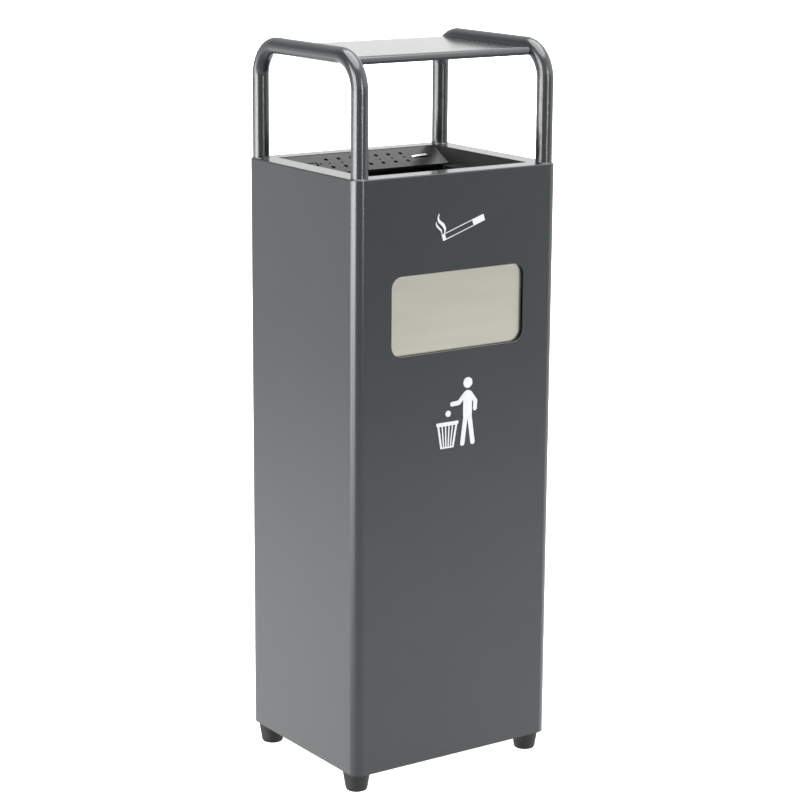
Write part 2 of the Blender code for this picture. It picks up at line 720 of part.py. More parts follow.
def rear_door():
    """The door tray, with holes for its lock and its two pivot bushes."""
    x = DOOR_OPENING_X - DOOR_CLEARANCE
    low, high = DOOR_LOW + DOOR_CLEARANCE, DOOR_HIGH - DOOR_CLEARANCE
    front = HALF_DEPTH - DOOR_FOLD
    door = block("rear_door", (-x, front, low), (x, HALF_DEPTH, high))
    boolean(door, block("door_hollow", (-x + SHEET, front - 0.01, low + SHEET),
                        (x - SHEET, HALF_DEPTH - SHEET, high - SHEET)))
    boolean(door, rod("lock_hole", (LOCK_X, front, LOCK_LEVEL), (LOCK_X, HALF_DEPTH + 0.01, LOCK_LEVEL),
                      LOCK_HOLE, 24))
    for end_name, edge, _ in door_ends():
        boolean(door, rod(f"bush_hole_{end_name}", (DOOR_PIVOT_X, DOOR_PIVOT_Y, edge - 0.005),
                          (DOOR_PIVOT_X, DOOR_PIVOT_Y, edge + 0.005), 0.0033, 16))
    return as_part(door, "anthracite")


def door_pivot(end_name, edge, out):
    """A flanged bush in the door's edge, and the headed pin under the frame that it turns on."""
    bush_profile = [(0.0042, 0.0013), (0.0042, GAP), (0.0030, GAP), (0.0030, -0.0030),
                    (0.0022, -0.0030), (0.0022, 0.0013)]
    centre = (DOOR_PIVOT_X, DOOR_PIVOT_Y, edge)
    bush = turned(f"pivot_bush_{end_name}", bush_profile, centre, (0, 0, out), steps=16, closed=True)
    as_part(bush, "white_nylon")
    head_top = DOOR_CLEARANCE + FRAME_CLEARANCE - GAP
    pin_profile = [(0, head_top), (0.0042, head_top), (0.0042, 0.0016), (0.0020, 0.0016),
                   (0.0020, -0.0070), (0.0014, -0.0080), (0, -0.0080)]
    pin = turned(f"pivot_pin_{end_name}", pin_profile, centre, (0, 0, out), steps=16)
    as_part(pin, "zinc_plated")
    return bush


def door_lock():
    """A cam lock: barrel and nut in the door, spindle and cam turned by a triangular key."""
    face = Vector((LOCK_X, HALF_DEPTH, LOCK_LEVEL))
    barrel_profile = [(0.0100, 0.0012), (0.0105, GAP), (0.0080, GAP), (0.0080, -0.0130),
                      (0.0043, -0.0130), (0.0043, 0.0012)]
    barrel = turned("lock_barrel", barrel_profile, face, (0, 1, 0), steps=24, closed=True)
    as_part(barrel, "zinc_plated")
    nut_face = face - Vector((0, SHEET + GAP, 0))
    nut = rod("lock_nut", nut_face, nut_face - Vector((0, 0.0030, 0)), 0.0120, 6)
    boolean(nut, rod("nut_bore", face, face - Vector((0, 0.0080, 0)), LOCK_HOLE, 24))
    as_part(nut, "zinc_plated")
    spindle_profile = [(0, 0.0006), (0.0040, 0.0006), (0.0040, -0.0132), (0.0022, -0.0132),
                       (0.0022, -0.0080), (0, -0.0080)]
    spindle = turned("lock_spindle", spindle_profile, face, (0, 1, 0), steps=16)
    as_part(spindle, "zinc_plated")
    cam_rear = HALF_DEPTH - 0.0135
    cam = block("lock_cam", (LOCK_X - 0.006, cam_rear - 0.002, LOCK_LEVEL - 0.006),
                (LOCK_X + 0.006, cam_rear, LOCK_LEVEL + 0.026), 1, 0.004, 3)
    boolean(cam, rod("cam_hole", (LOCK_X, cam_rear - 0.01, LOCK_LEVEL),
                     (LOCK_X, cam_rear + 0.01, LOCK_LEVEL), SCREW_HOLE, 12))
    as_part(cam, "zinc_plated")
    cam_screw = screw("cam_screw", (LOCK_X, cam_rear - 0.002 - GAP, LOCK_LEVEL), (0, -1, 0),
                      0.0038, 0.0022, 0.0020, 0.0070)
    turning = pivot_empty("lock_pivot", (LOCK_X, HALF_DEPTH, LOCK_LEVEL), [spindle, cam, cam_screw])
    return [barrel, nut, turning]


# ---------------------------------------------------------------- liner


def liner_bucket():
    """The galvanised liner: a rounded rectangular bucket with a rolled hem."""
    floor = FOOT_HEIGHT + SHEET + 2 * GAP
    x, y, hem = LINER_HALF_X, LINER_HALF_Y, LINER_HEM
    top = LINER_TOP - LINER_WALL
    rings = [(x, -y, y, floor), (x, -y, y, top), (x + hem, -y - hem, y + hem, top),
             (x + hem, -y - hem, y + hem, top - 0.007)]
    bucket = open_vessel("liner_bucket", rings, corner_radius=0.018)
    solidify(bucket, LINER_WALL)
    as_part(bucket, "galvanised")


def liner_ear(side_name, side):
    """A pad on the liner's side, with the hole that one end of the handle turns in."""
    x = sorted(((LINER_HALF_X + GAP) * side, (LINER_HALF_X + GAP + 0.0025) * side))
    ear = block(f"liner_ear_{side_name}", (x[0], -0.010, EAR_LEVEL - 0.010), (x[1], 0.010, EAR_LEVEL + 0.010),
                0, 0.005, 3)
    boolean(ear, rod(f"ear_hole_{side_name}", (x[0] - 0.002, 0, EAR_LEVEL), (x[1] + 0.002, 0, EAR_LEVEL),
                     HANDLE_RADIUS + GAP, 12))
    as_part(ear, "galvanised")


def liner_handle():
    """The wire bail. It lies flat behind the liner's rim and turns up on its two bent-in ends."""
    end_x, small, large = LINER_HALF_X + 0.0009, 0.004, 0.014
    half = [(end_x, 0)]
    half += arc((HANDLE_X - small, small), small, -90, 0, 4)
    half += arc((HANDLE_X - large, HANDLE_REACH - large), large, 0, 90, 5)
    plane = half + [(-x, y) for x, y in reversed(half)]
    wire = swept("liner_handle", [(x, y, EAR_LEVEL) for x, y in plane], HANDLE_RADIUS, 3, capped=True)
    as_part(wire, "zinc_plated", 50)
    pivot_empty("handle_pivot", (0, 0, EAR_LEVEL), [wire])


# ---------------------------------------------------------------- assembly


def build():
    clear_scene()
    make_collections()
    make_finishes()
    body_shell()
    rim_frame()
    base_plate()
    feet()
    canopy_roof()
    flap()
    flap_rod()
    for side_name, side in SIDES:
        tube_loop(side_name, side)
        flap_bracket(side_name, side)
        rod_cap(side_name, side)
        flap_buffer(side_name, side)
        pan_rail(side_name, side)
        liner_ear(side_name, side)
        for end_name, end in ENDS:
            tube_socket(side_name, side, end_name, end)
    trim_socket_corners()
    ash_pan()
    stubbing_plate()
    door_frame()
    door_pieces = [rear_door()]
    for end_name, edge, out in door_ends():
        door_pieces.append(door_pivot(end_name, edge, out))
    door_pieces += door_lock()
    pivot_empty("door_pivot", (DOOR_PIVOT_X, DOOR_PIVOT_Y, (DOOR_LOW + DOOR_HIGH) / 2), door_pieces)
    liner_bucket()
    liner_handle()


build()
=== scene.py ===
"""Looks for the ashtray bin: powder coat, brushed steel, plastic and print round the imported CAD
model, with a pale studio floor, soft light and the camera. Metres, +Z up, the front faces -Y."""

import json
import math

import bmesh
import bpy
from mathutils import Matrix, Vector


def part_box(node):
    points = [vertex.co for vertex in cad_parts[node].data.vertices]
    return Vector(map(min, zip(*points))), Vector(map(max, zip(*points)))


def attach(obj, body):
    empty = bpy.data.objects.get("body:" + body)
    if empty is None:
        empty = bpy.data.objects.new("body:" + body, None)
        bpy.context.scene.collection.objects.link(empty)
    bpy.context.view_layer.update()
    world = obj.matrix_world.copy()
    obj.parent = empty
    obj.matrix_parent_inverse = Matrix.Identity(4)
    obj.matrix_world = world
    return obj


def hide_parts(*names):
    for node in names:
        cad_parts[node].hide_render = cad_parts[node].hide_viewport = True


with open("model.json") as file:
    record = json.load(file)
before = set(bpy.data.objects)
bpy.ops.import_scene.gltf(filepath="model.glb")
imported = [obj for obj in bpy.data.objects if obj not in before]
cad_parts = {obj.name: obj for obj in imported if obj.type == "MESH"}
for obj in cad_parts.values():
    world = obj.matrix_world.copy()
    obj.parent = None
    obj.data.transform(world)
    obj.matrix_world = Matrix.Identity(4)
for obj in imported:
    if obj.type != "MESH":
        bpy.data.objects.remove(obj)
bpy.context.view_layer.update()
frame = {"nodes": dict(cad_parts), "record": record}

UP = Vector((0, 0, 1))
SIDES = (("left", -1), ("right", 1))
ENDS = (("front", -1), ("rear", 1))
SHEET = 0.0015
GAP = 0.0003

# Places that come from the CAD model
BODY_LOW, BODY_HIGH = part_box("body_shell")
HALF_X, HALF_Y = BODY_HIGH.x, BODY_HIGH.y
BASE, RIM = BODY_LOW.z, BODY_HIGH.z
LOOP_LOW, LOOP_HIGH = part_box("tube_loop_right")
TUBE_RADIUS = (LOOP_HIGH.x - LOOP_LOW.x) / 2
TUBE_X = (LOOP_LOW.x + LOOP_HIGH.x) / 2
TUBE_Y = LOOP_HIGH.y - TUBE_RADIUS

# Sizes that the CAD model shares. Openings are (half x, half y) or (half x, low, high)
CORNER_RADIUS = 0.0135
RIM_OPENING = (0.120, 0.100)
LITTER_OPENING = (0.099, RIM - 0.2195, RIM - 0.1205)
LITTER_CORNER = 0.0145
DOOR_OPENING = (0.115, RIM - 0.720, RIM - 0.060)
LOOP_BEND = 0.040
ROOF_ROLL = 0.0068
# How far a cutter reaches past the sheet that it cuts
REACH = 0.01


# ---------------------------------------------------------------- node helpers


def add_node(tree, kind, inputs=None, **settings):
    """A shader node. Inputs are values or sockets to link from."""
    node = tree.nodes.new("ShaderNode" + kind)
    for key, value in settings.items():
        setattr(node, key, value)
    for key, value in (inputs or {}).items():
        if isinstance(value, bpy.types.NodeSocket):
            tree.links.new(value, node.inputs[key])
        else:
            node.inputs[key].default_value = value
    return node


def ramp(tree, factor, stops, interpolation="LINEAR"):
    """A colour ramp. Each stop is (position, grey or colour)."""
    node = add_node(tree, "ValToRGB", {"Fac": factor})
    band = node.color_ramp
    band.interpolation = interpolation
    while len(band.elements) < len(stops):
        band.elements.new(1.0)
    for element, (place, colour) in zip(band.elements, stops):
        element.position = place
        shade = (colour,) * 3 if isinstance(colour, (int, float)) else colour
        element.color = (*shade, 1.0)
    return node.outputs["Color"]


def scaled(tree, low, high, value):
    """A 0 to 1 value mapped onto low to high."""
    node = add_node(tree, "MapRange", {"Value": value, "To Min": low, "To Max": high})
    return node.outputs["Result"]


def noise(tree, scale, detail=1.0, stretch=None, roughness=0.5):
    """Noise in object space. Stretch squeezes it along the axes."""
    place = add_node(tree, "TexCoord").outputs["Object"]
    if stretch:
        place = add_node(tree, "Mapping", {"Vector": place, "Scale": stretch}).outputs["Vector"]
    settings = {"Vector": place, "Scale": scale, "Detail": detail, "Roughness": roughness}
    return add_node(tree, "TexNoise", settings).outputs["Fac"]


def bump(tree, heights):
    """Stacked bumps. Each is (height socket, distance in metres, strength)."""
    normal = None
    for height, distance, strength in heights:
        inputs = {"Height": height, "Distance": distance, "Strength": strength}
        if normal is not None:
            inputs["Normal"] = normal
        normal = add_node(tree, "Bump", inputs).outputs["Normal"]
    return normal


def material(name, **constants):
    """A material and its node tree. Constants go straight onto the shader's sockets."""
    made = bpy.data.materials.new(name)
    made.use_nodes = True
    shader = made.node_tree.nodes["Principled BSDF"]
    for key, value in constants.items():
        shader.inputs[key.replace("_", " ")].default_value = value
    return made, made.node_tree, shader


def join(tree, socket, shader, name):
    tree.links.new(socket, shader.inputs[name])


# ---------------------------------------------------------------- materials


def powder_coat(name, dark, light, roughness, coat, coat_roughness, skin_depth=0.00010):
    """Powder coat: fine flakes and soft clouding under a glossy skin with orange peel, skin_depth deep."""
    made, tree, shader = material(name, Metallic=0.05, Coat_Weight=coat, Coat_Roughness=coat_roughness,
                                  Coat_IOR=1.5, IOR=1.5, Specular_IOR_Level=0.12)
    flakes = noise(tree, 2600.0, 2.0)
    clouds = noise(tree, 9.0, 3.0)
    blend = add_node(tree, "Math", {0: flakes, 1: scaled(tree, 0.9, 1.1, clouds)}, operation="MULTIPLY")
    join(tree, ramp(tree, blend.outputs[0], ((0.36, dark), (0.66, light))), shader, "Base Color")
    gloss = noise(tree, 320.0, 2.0)
    join(tree, scaled(tree, roughness - 0.05, roughness + 0.05, gloss), shader, "Roughness")
    peel = noise(tree, 700.0, 1.0)
    grain = noise(tree, 2100.0, 1.0)
    surface = bump(tree, ((peel, 0.00008, 0.9), (grain, 0.00003, 0.6)))
    join(tree, surface, shader, "Normal")
    skin = bump(tree, ((peel, skin_depth, 1.0),))
    join(tree, skin, shader, "Coat Normal")
    return made


def brushed_steel(name, dark, light, roughness, stretch):
    """Brushed sheet: long fine scratches that vary the shade, the gloss and the surface."""
    made, tree, shader = material(name, Metallic=1.0, Anisotropic=0.45)
    fine = noise(tree, 900.0, 3.0, stretch)
    broad = noise(tree, 120.0, 2.0, stretch)
    patches = noise(tree, 14.0, 2.0)
    mixed = add_node(tree, "Math", {0: fine, 1: broad}, operation="ADD")
    total = add_node(tree, "Math", {0: mixed.outputs[0], 1: patches}, operation="ADD")
    join(tree, ramp(tree, scaled(tree, 0.0, 0.3333, total.outputs[0]), ((0.36, dark), (0.62, light))),
         shader, "Base Color")
    join(tree, scaled(tree, roughness - 0.03, roughness + 0.04, broad), shader, "Roughness")
    join(tree, bump(tree, ((fine, 0.000006, 0.5), (broad, 0.00001, 0.3))), shader, "Normal")
    return made


def plated(name, dark, light, roughness):
    """Zinc plating: a cloudy shade and a slightly uneven gloss."""
    made, tree, shader = material(name, Metallic=1.0)
    clouds = noise(tree, 180.0, 4.0)
    join(tree, ramp(tree, clouds, ((0.35, dark), (0.65, light))), shader, "Base Color")
    gloss = noise(tree, 700.0, 3.0)
    join(tree, scaled(tree, roughness - 0.07, roughness + 0.10, gloss), shader, "Roughness")
    join(tree, bump(tree, ((noise(tree, 1500.0, 2.0), 0.00002, 0.5),)), shader, "Normal")
    return made


def galvanised(name):
    """Hot-dip zinc: spangle crystals of differing shade and gloss."""
    made, tree, shader = material(name, Metallic=1.0)
    place = add_node(tree, "TexCoord").outputs["Object"]
    warp = add_node(tree, "TexNoise", {"Vector": place, "Scale": 60.0, "Detail": 2.0})
    small = (0.02, 0.02, 0.02)
    moved = add_node(tree, "VectorMath", {0: warp.outputs["Color"], 1: small}, operation="MULTIPLY")
    where = add_node(tree, "VectorMath", {0: place, 1: moved.outputs[0]}, operation="ADD")
    cells = add_node(tree, "TexVoronoi", {"Vector": where.outputs[0], "Scale": 95.0})
    grey = add_node(tree, "RGBToBW", {"Color": cells.outputs["Color"]}).outputs["Val"]
    shades = ((0.1, (0.40, 0.42, 0.44)), (0.9, (0.66, 0.68, 0.70)))
    join(tree, ramp(tree, grey, shades), shader, "Base Color")
    join(tree, scaled(tree, 0.30, 0.52, grey), shader, "Roughness")
    join(tree, bump(tree, ((noise(tree, 500.0, 3.0), 0.00004, 0.5),)), shader, "Normal")
    return made


def moulded(name, dark, light, roughness, grain, depth):
    """Plastic or rubber: a moulded grain over a slightly cloudy colour."""
    made, tree, shader = material(name, IOR=1.48)
    join(tree, ramp(tree, noise(tree, 140.0, 4.0), ((0.3, dark), (0.7, light))), shader, "Base Color")
    gloss = noise(tree, 260.0, 2.0)
    join(tree, scaled(tree, roughness - 0.07, roughness + 0.07, gloss), shader, "Roughness")
    join(tree, bump(tree, ((noise(tree, grain, 2.0), depth, 0.7),)), shader, "Normal")
    return made


# Each finish's darkest and lightest colour
ANTHRACITE = (0.0052, 0.0066, 0.0076), (0.0130, 0.0155, 0.0175)
PAN_BLACK = (0.003, 0.003, 0.003), (0.009, 0.009, 0.009)
STAINLESS = (0.61, 0.60, 0.52), (0.70, 0.69, 0.595)
ZINC = (0.50, 0.50, 0.49), (0.72, 0.72, 0.70)
BLACK_PLASTIC = (0.003, 0.003, 0.003), (0.007, 0.007, 0.007)
WHITE_NYLON = (0.62, 0.61, 0.57), (0.76, 0.75, 0.71)
BLACK_RUBBER = (0.013, 0.013, 0.013), (0.026, 0.026, 0.026)
WHITE_PRINT = (0.245, 0.255, 0.260), (0.268, 0.278, 0.283)
ALONG_X = (0.06, 1.0, 1.0)


def make_materials():
    return {
        "anthracite": powder_coat("anthracite_coat", *ANTHRACITE, 0.40, 1.0, 0.05),
        "anthracite_roof": powder_coat("anthracite_roof_coat", *ANTHRACITE, 0.40, 1.0, 0.10, 0.00005),
        "black_powder": powder_coat("pan_coat", *PAN_BLACK, 0.45, 0.85, 0.12),
        "stainless": brushed_steel("brushed_stainless", *STAINLESS, 0.24, ALONG_X),
        "galvanised": galvanised("galvanised_sheet"),
        "zinc_plated": plated("zinc_plating", *ZINC, 0.28),
        "black_plastic": moulded("black_plastic", *BLACK_PLASTIC, 0.60, 1800.0, 0.00006),
        "white_nylon": moulded("white_nylon", *WHITE_NYLON, 0.48, 1500.0, 0.00004),
        "black_rubber": moulded("black_rubber", *BLACK_RUBBER, 0.72, 1400.0, 0.00009),
        "white_print": moulded("white_print", *WHITE_PRINT, 0.55, 1600.0, 0.00003),
    }


# ---------------------------------------------------------------- mesh helpers


def new_object(name, bm):
    mesh = bpy.data.meshes.new(name)
    bm.to_mesh(mesh)
    bm.free()
    made = bpy.data.objects.new(name, mesh)
    bpy.context.scene.collection.objects.link(made)
    return made


def settle(thing):
    """Applies every modifier and the object's place, so the shape is all in its mesh."""
    bpy.context.view_layer.update()
    graph = bpy.context.evaluated_depsgraph_get()
    mesh = bpy.data.meshes.new_from_object(thing.evaluated_get(graph))
    mesh.transform(thing.matrix_world)
    thing.modifiers.clear()
    thing.data = mesh
    thing.matrix_world = Matrix.Identity(4)
    return thing


def combine(target, tools, operation="DIFFERENCE"):
    """Cuts the tools from the target, or adds them to it, and removes them."""
    for tool in tools:
        modifier = target.modifiers.new(tool.name, "BOOLEAN")
        modifier.operation = operation
        modifier.solver = "EXACT"
        modifier.object = tool
    settle(target)
    for tool in tools:
        bpy.data.objects.remove(tool, do_unlink=True)
    return target


def block(name, low, high, corners=None, top=None):
    """A box. Corners is (axis, radius, segments) for the edges along that axis, and top is
    (radius, segments) for the edges round the upper face."""
    bm = bmesh.new()
    bmesh.ops.create_cube(bm, size=1.0)
    for vert in bm.verts:
        for axis in range(3):
            span = high[axis] - low[axis]
            vert.co[axis] = (low[axis] + high[axis]) / 2 + vert.co[axis] * span
    if corners:
        axis, radius, segments = corners
        edges = [edge for edge in bm.edges
                 if abs((edge.verts[1].co - edge.verts[0].co).normalized()[axis]) > 0.99]
        bmesh.ops.bevel(bm, geom=edges, offset=radius, segments=segments, profile=0.5, affect="EDGES")
    if top:
        radius, segments = top
        edges = [edge for edge in bm.edges if min(vert.co.z for vert in edge.verts) > high[2] - 1e-6]
        bmesh.ops.bevel(bm, geom=edges, offset=radius, segments=segments, profile=0.5, affect="EDGES")
    return new_object(name, bm)


def rod(name, start, stop, radius, sides=24):
    bm = bmesh.new()
    run = Vector(stop) - Vector(start)
    turn = UP.rotation_difference(run).to_matrix().to_4x4()
    turn.translation = (Vector(start) + Vector(stop)) / 2
    bmesh.ops.create_cone(bm, cap_ends=True, segments=sides, radius1=radius, radius2=radius,
                          depth=run.length, matrix=turn)
    return new_object(name, bm)


def lathe(name, profile, origin, direction, steps=48, closed=False):
    """A (radius, height) profile turned about a line, with single points on the axis."""
    bm = bmesh.new()
    turn = UP.rotation_difference(Vector(direction)).to_matrix().to_4x4()
    turn.translation = Vector(origin)
    rings = []
    for radius, height in profile:
        count = steps if radius > 1e-7 else 1
        rings.append([bm.verts.new(turn @ Vector((radius * math.cos(math.tau * i / steps),
                                                  radius * math.sin(math.tau * i / steps), height)))
                      for i in range(count)])
    pairs = list(zip(rings, rings[1:]))
    if closed:
        pairs.append((rings[-1], rings[0]))
    for first, second in pairs:
        for i in range(steps):
            j = (i + 1) % steps
            corners = [first[i % len(first)], first[j % len(first)], second[j % len(second)],
                       second[i % len(second)]]
            bm.faces.new(list(dict.fromkeys(corners)))
    bmesh.ops.recalc_face_normals(bm, faces=bm.faces)
    return new_object(name, bm)


def arc(centre, radius, start, stop, count):
    """Points of a plane arc, in degrees."""
    points = []
    for step in range(count + 1):
        angle = math.radians(start + (stop - start) * step / count)
        points.append((centre[0] + radius * math.cos(angle), centre[1] + radius * math.sin(angle)))
    return points


def sweep(name, points, radius, sides=48, capped=True):
    """A round bar along a path that stays in one plane."""
    bm = bmesh.new()
    points = [Vector(point) for point in points]
    flat = (points[1] - points[0]).cross(points[len(points) // 2] - points[0]).normalized()
    rings = []
    for i, point in enumerate(points):
        before = (point - points[i - 1]).normalized() if i else None
        after = (points[i + 1] - point).normalized() if i + 1 < len(points) else None
        along = ((before or after) + (after or before)).normalized()
        across = along.cross(flat).normalized()
        ring = []
        for side in range(sides):
            angle = math.tau * side / sides
            ring.append(bm.verts.new(point + radius * (math.cos(angle) * across + math.sin(angle) * flat)))
        rings.append(ring)
    for first, second in zip(rings, rings[1:]):
        for side in range(sides):
            after = (side + 1) % sides
            bm.faces.new((first[side], first[after], second[after], second[side]))
    if capped:
        bm.faces.new(rings[0])
        bm.faces.new(rings[-1])
    bmesh.ops.recalc_face_normals(bm, faces=bm.faces)
    return new_object(name, bm)


def soften(thing, width, segments=2, angle=40):
    """Rounds every hard edge a little."""
    modifier = thing.modifiers.new("soften", "BEVEL")
    modifier.width = width
    modifier.segments = segments
    modifier.limit_method = "ANGLE"
    modifier.angle_limit = math.radians(angle)
    modifier.use_clamp_overlap = True
    settle(thing)


def shade(thing, angle=40):
    """Smooth shading that keeps large faces flat and hard edges sharp."""
    thing.data.shade_smooth()
    thing.data.set_sharp_from_angle(angle=math.radians(angle))
    modifier = thing.modifiers.new("flat_faces", "WEIGHTED_NORMAL")
    modifier.keep_sharp = True
    modifier.weight = 100
    settle(thing)


def piece(thing, finish, body, nodes=(), angle=40):
    """Finishes a piece: shading, material, the CAD nodes it stands for and its body."""
    shade(thing, angle)
    thing.data.materials.clear()
    thing.data.materials.append(materials[finish])
    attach(thing, body)
    if nodes:
        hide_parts(*nodes)
    return thing


# ---------------------------------------------------------------- body and rim


def body_wrap():
    """The folded wrap with its rim: rounded corners, a folded top edge, and mitred rim corners."""
    wrap = block("body_wrap", (-HALF_X, -HALF_Y, BASE), (HALF_X, HALF_Y, RIM),
                 corners=(2, CORNER_RADIUS, 18), top=(0.0016, 5))
    x, y = HALF_X - SHEET, HALF_Y - SHEET
    cuts = [block("hollow", (-x, -y, BASE - REACH), (x, y, RIM - SHEET),
                  corners=(2, CORNER_RADIUS - SHEET, 12))]
    x, y = RIM_OPENING
    cuts.append(block("rim_opening", (-x, -y, RIM - REACH), (x, y, RIM + REACH), corners=(2, 0.0010, 3)))
    half, low, high = LITTER_OPENING
    cuts.append(block("litter_opening", (-half, -HALF_Y - REACH, low), (half, -HALF_Y + REACH, high),
                      corners=(1, LITTER_CORNER, 14)))
    half, low, high = DOOR_OPENING
    cuts.append(block("doorway", (-half, HALF_Y - REACH, low), (half, HALF_Y + REACH, high)))
    for _, side in SIDES:
        for _, end in ENDS:
            where = (side * TUBE_X, end * TUBE_Y)
            cuts.append(rod("leg_hole", (*where, RIM - REACH), (*where, RIM + REACH), TUBE_RADIUS + GAP, 48))
            cuts.append(mitre(side, end))
    combine(wrap, cuts)
    soften(wrap, 0.0003, 2, 50)
    piece(wrap, "anthracite", "body", ("body_shell", "rim_frame"), 50)


def mitre(side, end):
    """The shallow line where two rim flanges meet, from the opening's corner outwards."""
    inset, half_width, depth = 0.0045, 0.00018, 0.00025
    start = Vector((side * RIM_OPENING[0], end * RIM_OPENING[1], RIM))
    stop = Vector((side * (HALF_X - inset), end * (HALF_Y - inset), RIM))
    line = block("mitre", (0, -half_width, -depth), ((stop - start).length, half_width, REACH))
    turn = Vector((1, 0, 0)).rotation_difference(stop - start).to_matrix().to_4x4()
    line.matrix_world = Matrix.Translation(start) @ turn
    return line


# ---------------------------------------------------------------- tube loops and roof


def tube_loops():
    """The two bent tubes, each leg with the small weld that seals it to the rim."""
    level = LOOP_HIGH.z - TUBE_RADIUS - LOOP_BEND
    bend_y = TUBE_Y - LOOP_BEND
    plane = [(-TUBE_Y, LOOP_LOW.z)]
    plane += arc((-bend_y, level), LOOP_BEND, 180, 90, 28)
    plane += arc((bend_y, level), LOOP_BEND, 90, 0, 28)
    plane += [(TUBE_Y, LOOP_LOW.z)]
    for name, side in SIDES:
        loop = sweep(f"tube_loop_{name}_skin", [(side * TUBE_X, y, z) for y, z in plane], TUBE_RADIUS, 64)
        bores = []
        for _, end in ENDS:
            where = (side * TUBE_X, end * TUBE_Y)
            bores.append(rod("bore", (*where, LOOP_LOW.z - REACH), (*where, RIM - 2 * REACH),
                             TUBE_RADIUS - SHEET, 48))
        combine(loop, bores)
        piece(loop, "anthracite", "body", (f"tube_loop_{name}",))
        for end_name, end in ENDS:
            weld(f"leg_weld_{end_name}_{name}", side * TUBE_X, end * TUBE_Y)


def weld(name, x, y):
    """A low fillet round a leg where it passes through the rim."""
    inner, outer = TUBE_RADIUS + 0.00008, TUBE_RADIUS + GAP - 0.00004
    root, skirt = -0.0012, 0.00006
    profile = [(inner, root), (outer, root), (outer, skirt), (inner + 0.0008, skirt),
               (inner + 0.0007, 0.0002), (inner + 0.0004, 0.0004), (inner + 0.0001, 0.0007), (inner, 0.0008)]
    bead = lathe(name, profile, (x, y, RIM), UP, 96, closed=True)
    for vert in bead.data.vertices:
        if vert.co.z > RIM:
            angle = math.atan2(vert.co.y - y, vert.co.x - x)
            wave = 1.0 + 0.16 * math.sin(19 * angle) + 0.08 * math.sin(31 * angle + 1.0)
            vert.co.z = RIM + (vert.co.z - RIM) * wave
    piece(bead, "anthracite", "body", angle=70)


def canopy_roof():
    """The roof tray, with its front and rear edges rolled over into the flanges."""
    low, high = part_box("canopy_roof")
    roof = prism("canopy_roof_skin", rolled_outline(low, high, ROOF_ROLL, 12), low.x, high.x)
    inner_low, inner_high = low + Vector((0, SHEET, -0.02)), high - Vector((0, SHEET, SHEET))
    hollow = prism("hollow", rolled_outline(inner_low, inner_high, ROOF_ROLL - SHEET, 12), low.x + SHEET,
                   high.x - SHEET)
    hole_radius, hole_reach = 0.0023, 0.008
    holes = []
    for side_name, side in SIDES:
        for end_name, _ in ENDS:
            screw_low, screw_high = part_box(f"roof_screw_{end_name}_{side_name}")
            y, z = (screw_low.y + screw_high.y) / 2, (screw_low.z + screw_high.z) / 2
            start, stop = side * (high.x - hole_reach), side * (high.x + hole_reach)
            holes.append(rod("hole", (start, y, z), (stop, y, z), hole_radius, 24))
    combine(roof, [hollow] + holes)
    soften(roof, 0.0005, 3, 50)
    piece(roof, "anthracite_roof", "body", ("canopy_roof",), 30)


def rolled_outline(low, high, radius, steps):
    """A tray's section in (y, z), open below, with its two upper corners rolled."""
    front = arc((low.y + radius, high.z - radius), radius, 180, 90, steps)
    rear = arc((high.y - radius, high.z - radius), radius, 90, 0, steps)
    return [(low.y, low.z)] + front + rear + [(high.y, low.z)]


# ---------------------------------------------------------------- screws


def screws():
    """Button-head screws with a hexagonal recess, wherever the CAD model has one."""
    groups = (("roof_screw", "x"), ("socket_screw", "x"), ("foot_screw", "z"))
    for group, axis in groups:
        for side_name, side in SIDES:
            for end_name, _ in ENDS:
                node = f"{group}_{end_name}_{side_name}"
                low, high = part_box(node)
                middle = (low + high) / 2
                if axis == "x":
                    head, out = Vector((low.x if side > 0 else high.x, middle.y, middle.z)), (-side, 0, 0)
                    length = high.x - low.x
                    radius = (high.z - low.z) / 2
                else:
                    head, out = Vector((middle.x, middle.y, low.z)), (0, 0, -1)
                    length = high.z - low.z
                    radius = (high.x - low.x) / 2
                one_screw(node, head, Vector(out), length, radius, "body")
    low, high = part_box("cam_screw")
    middle = (low + high) / 2
    one_screw("cam_screw", Vector((middle.x, low.y, middle.z)), Vector((0, -1, 0)), high.y - low.y,
              (high.x - low.x) / 2, "lock")


def one_screw(node, head, out, length, radius, body):
    """One screw whose head's top is at head and looks along out."""
    height = 0.62 * radius
    shank = 0.55 * radius
    profile = [(0.0, 0.0), (0.50 * radius, 0.0)]
    profile += [(radius * (0.5 + 0.5 * math.sin(t)), -0.75 * height * (1 - math.cos(t)))
                for t in (math.pi / 8, math.pi / 4, 3 * math.pi / 8, math.pi / 2)]
    profile += [(radius, -height), (shank, -height), (shank, -length + 0.0006), (shank - 0.0005, -length),
                (0.0, -length)]
    made = lathe(node + "_detail", profile, head, out, 36)
    recess = rod("recess", head + out * 0.002, head - out * 0.55 * height, 0.42 * radius, 6)
    combine(made, [recess])
    piece(made, "zinc_plated", body, (node,), 30)


# ---------------------------------------------------------------- flap


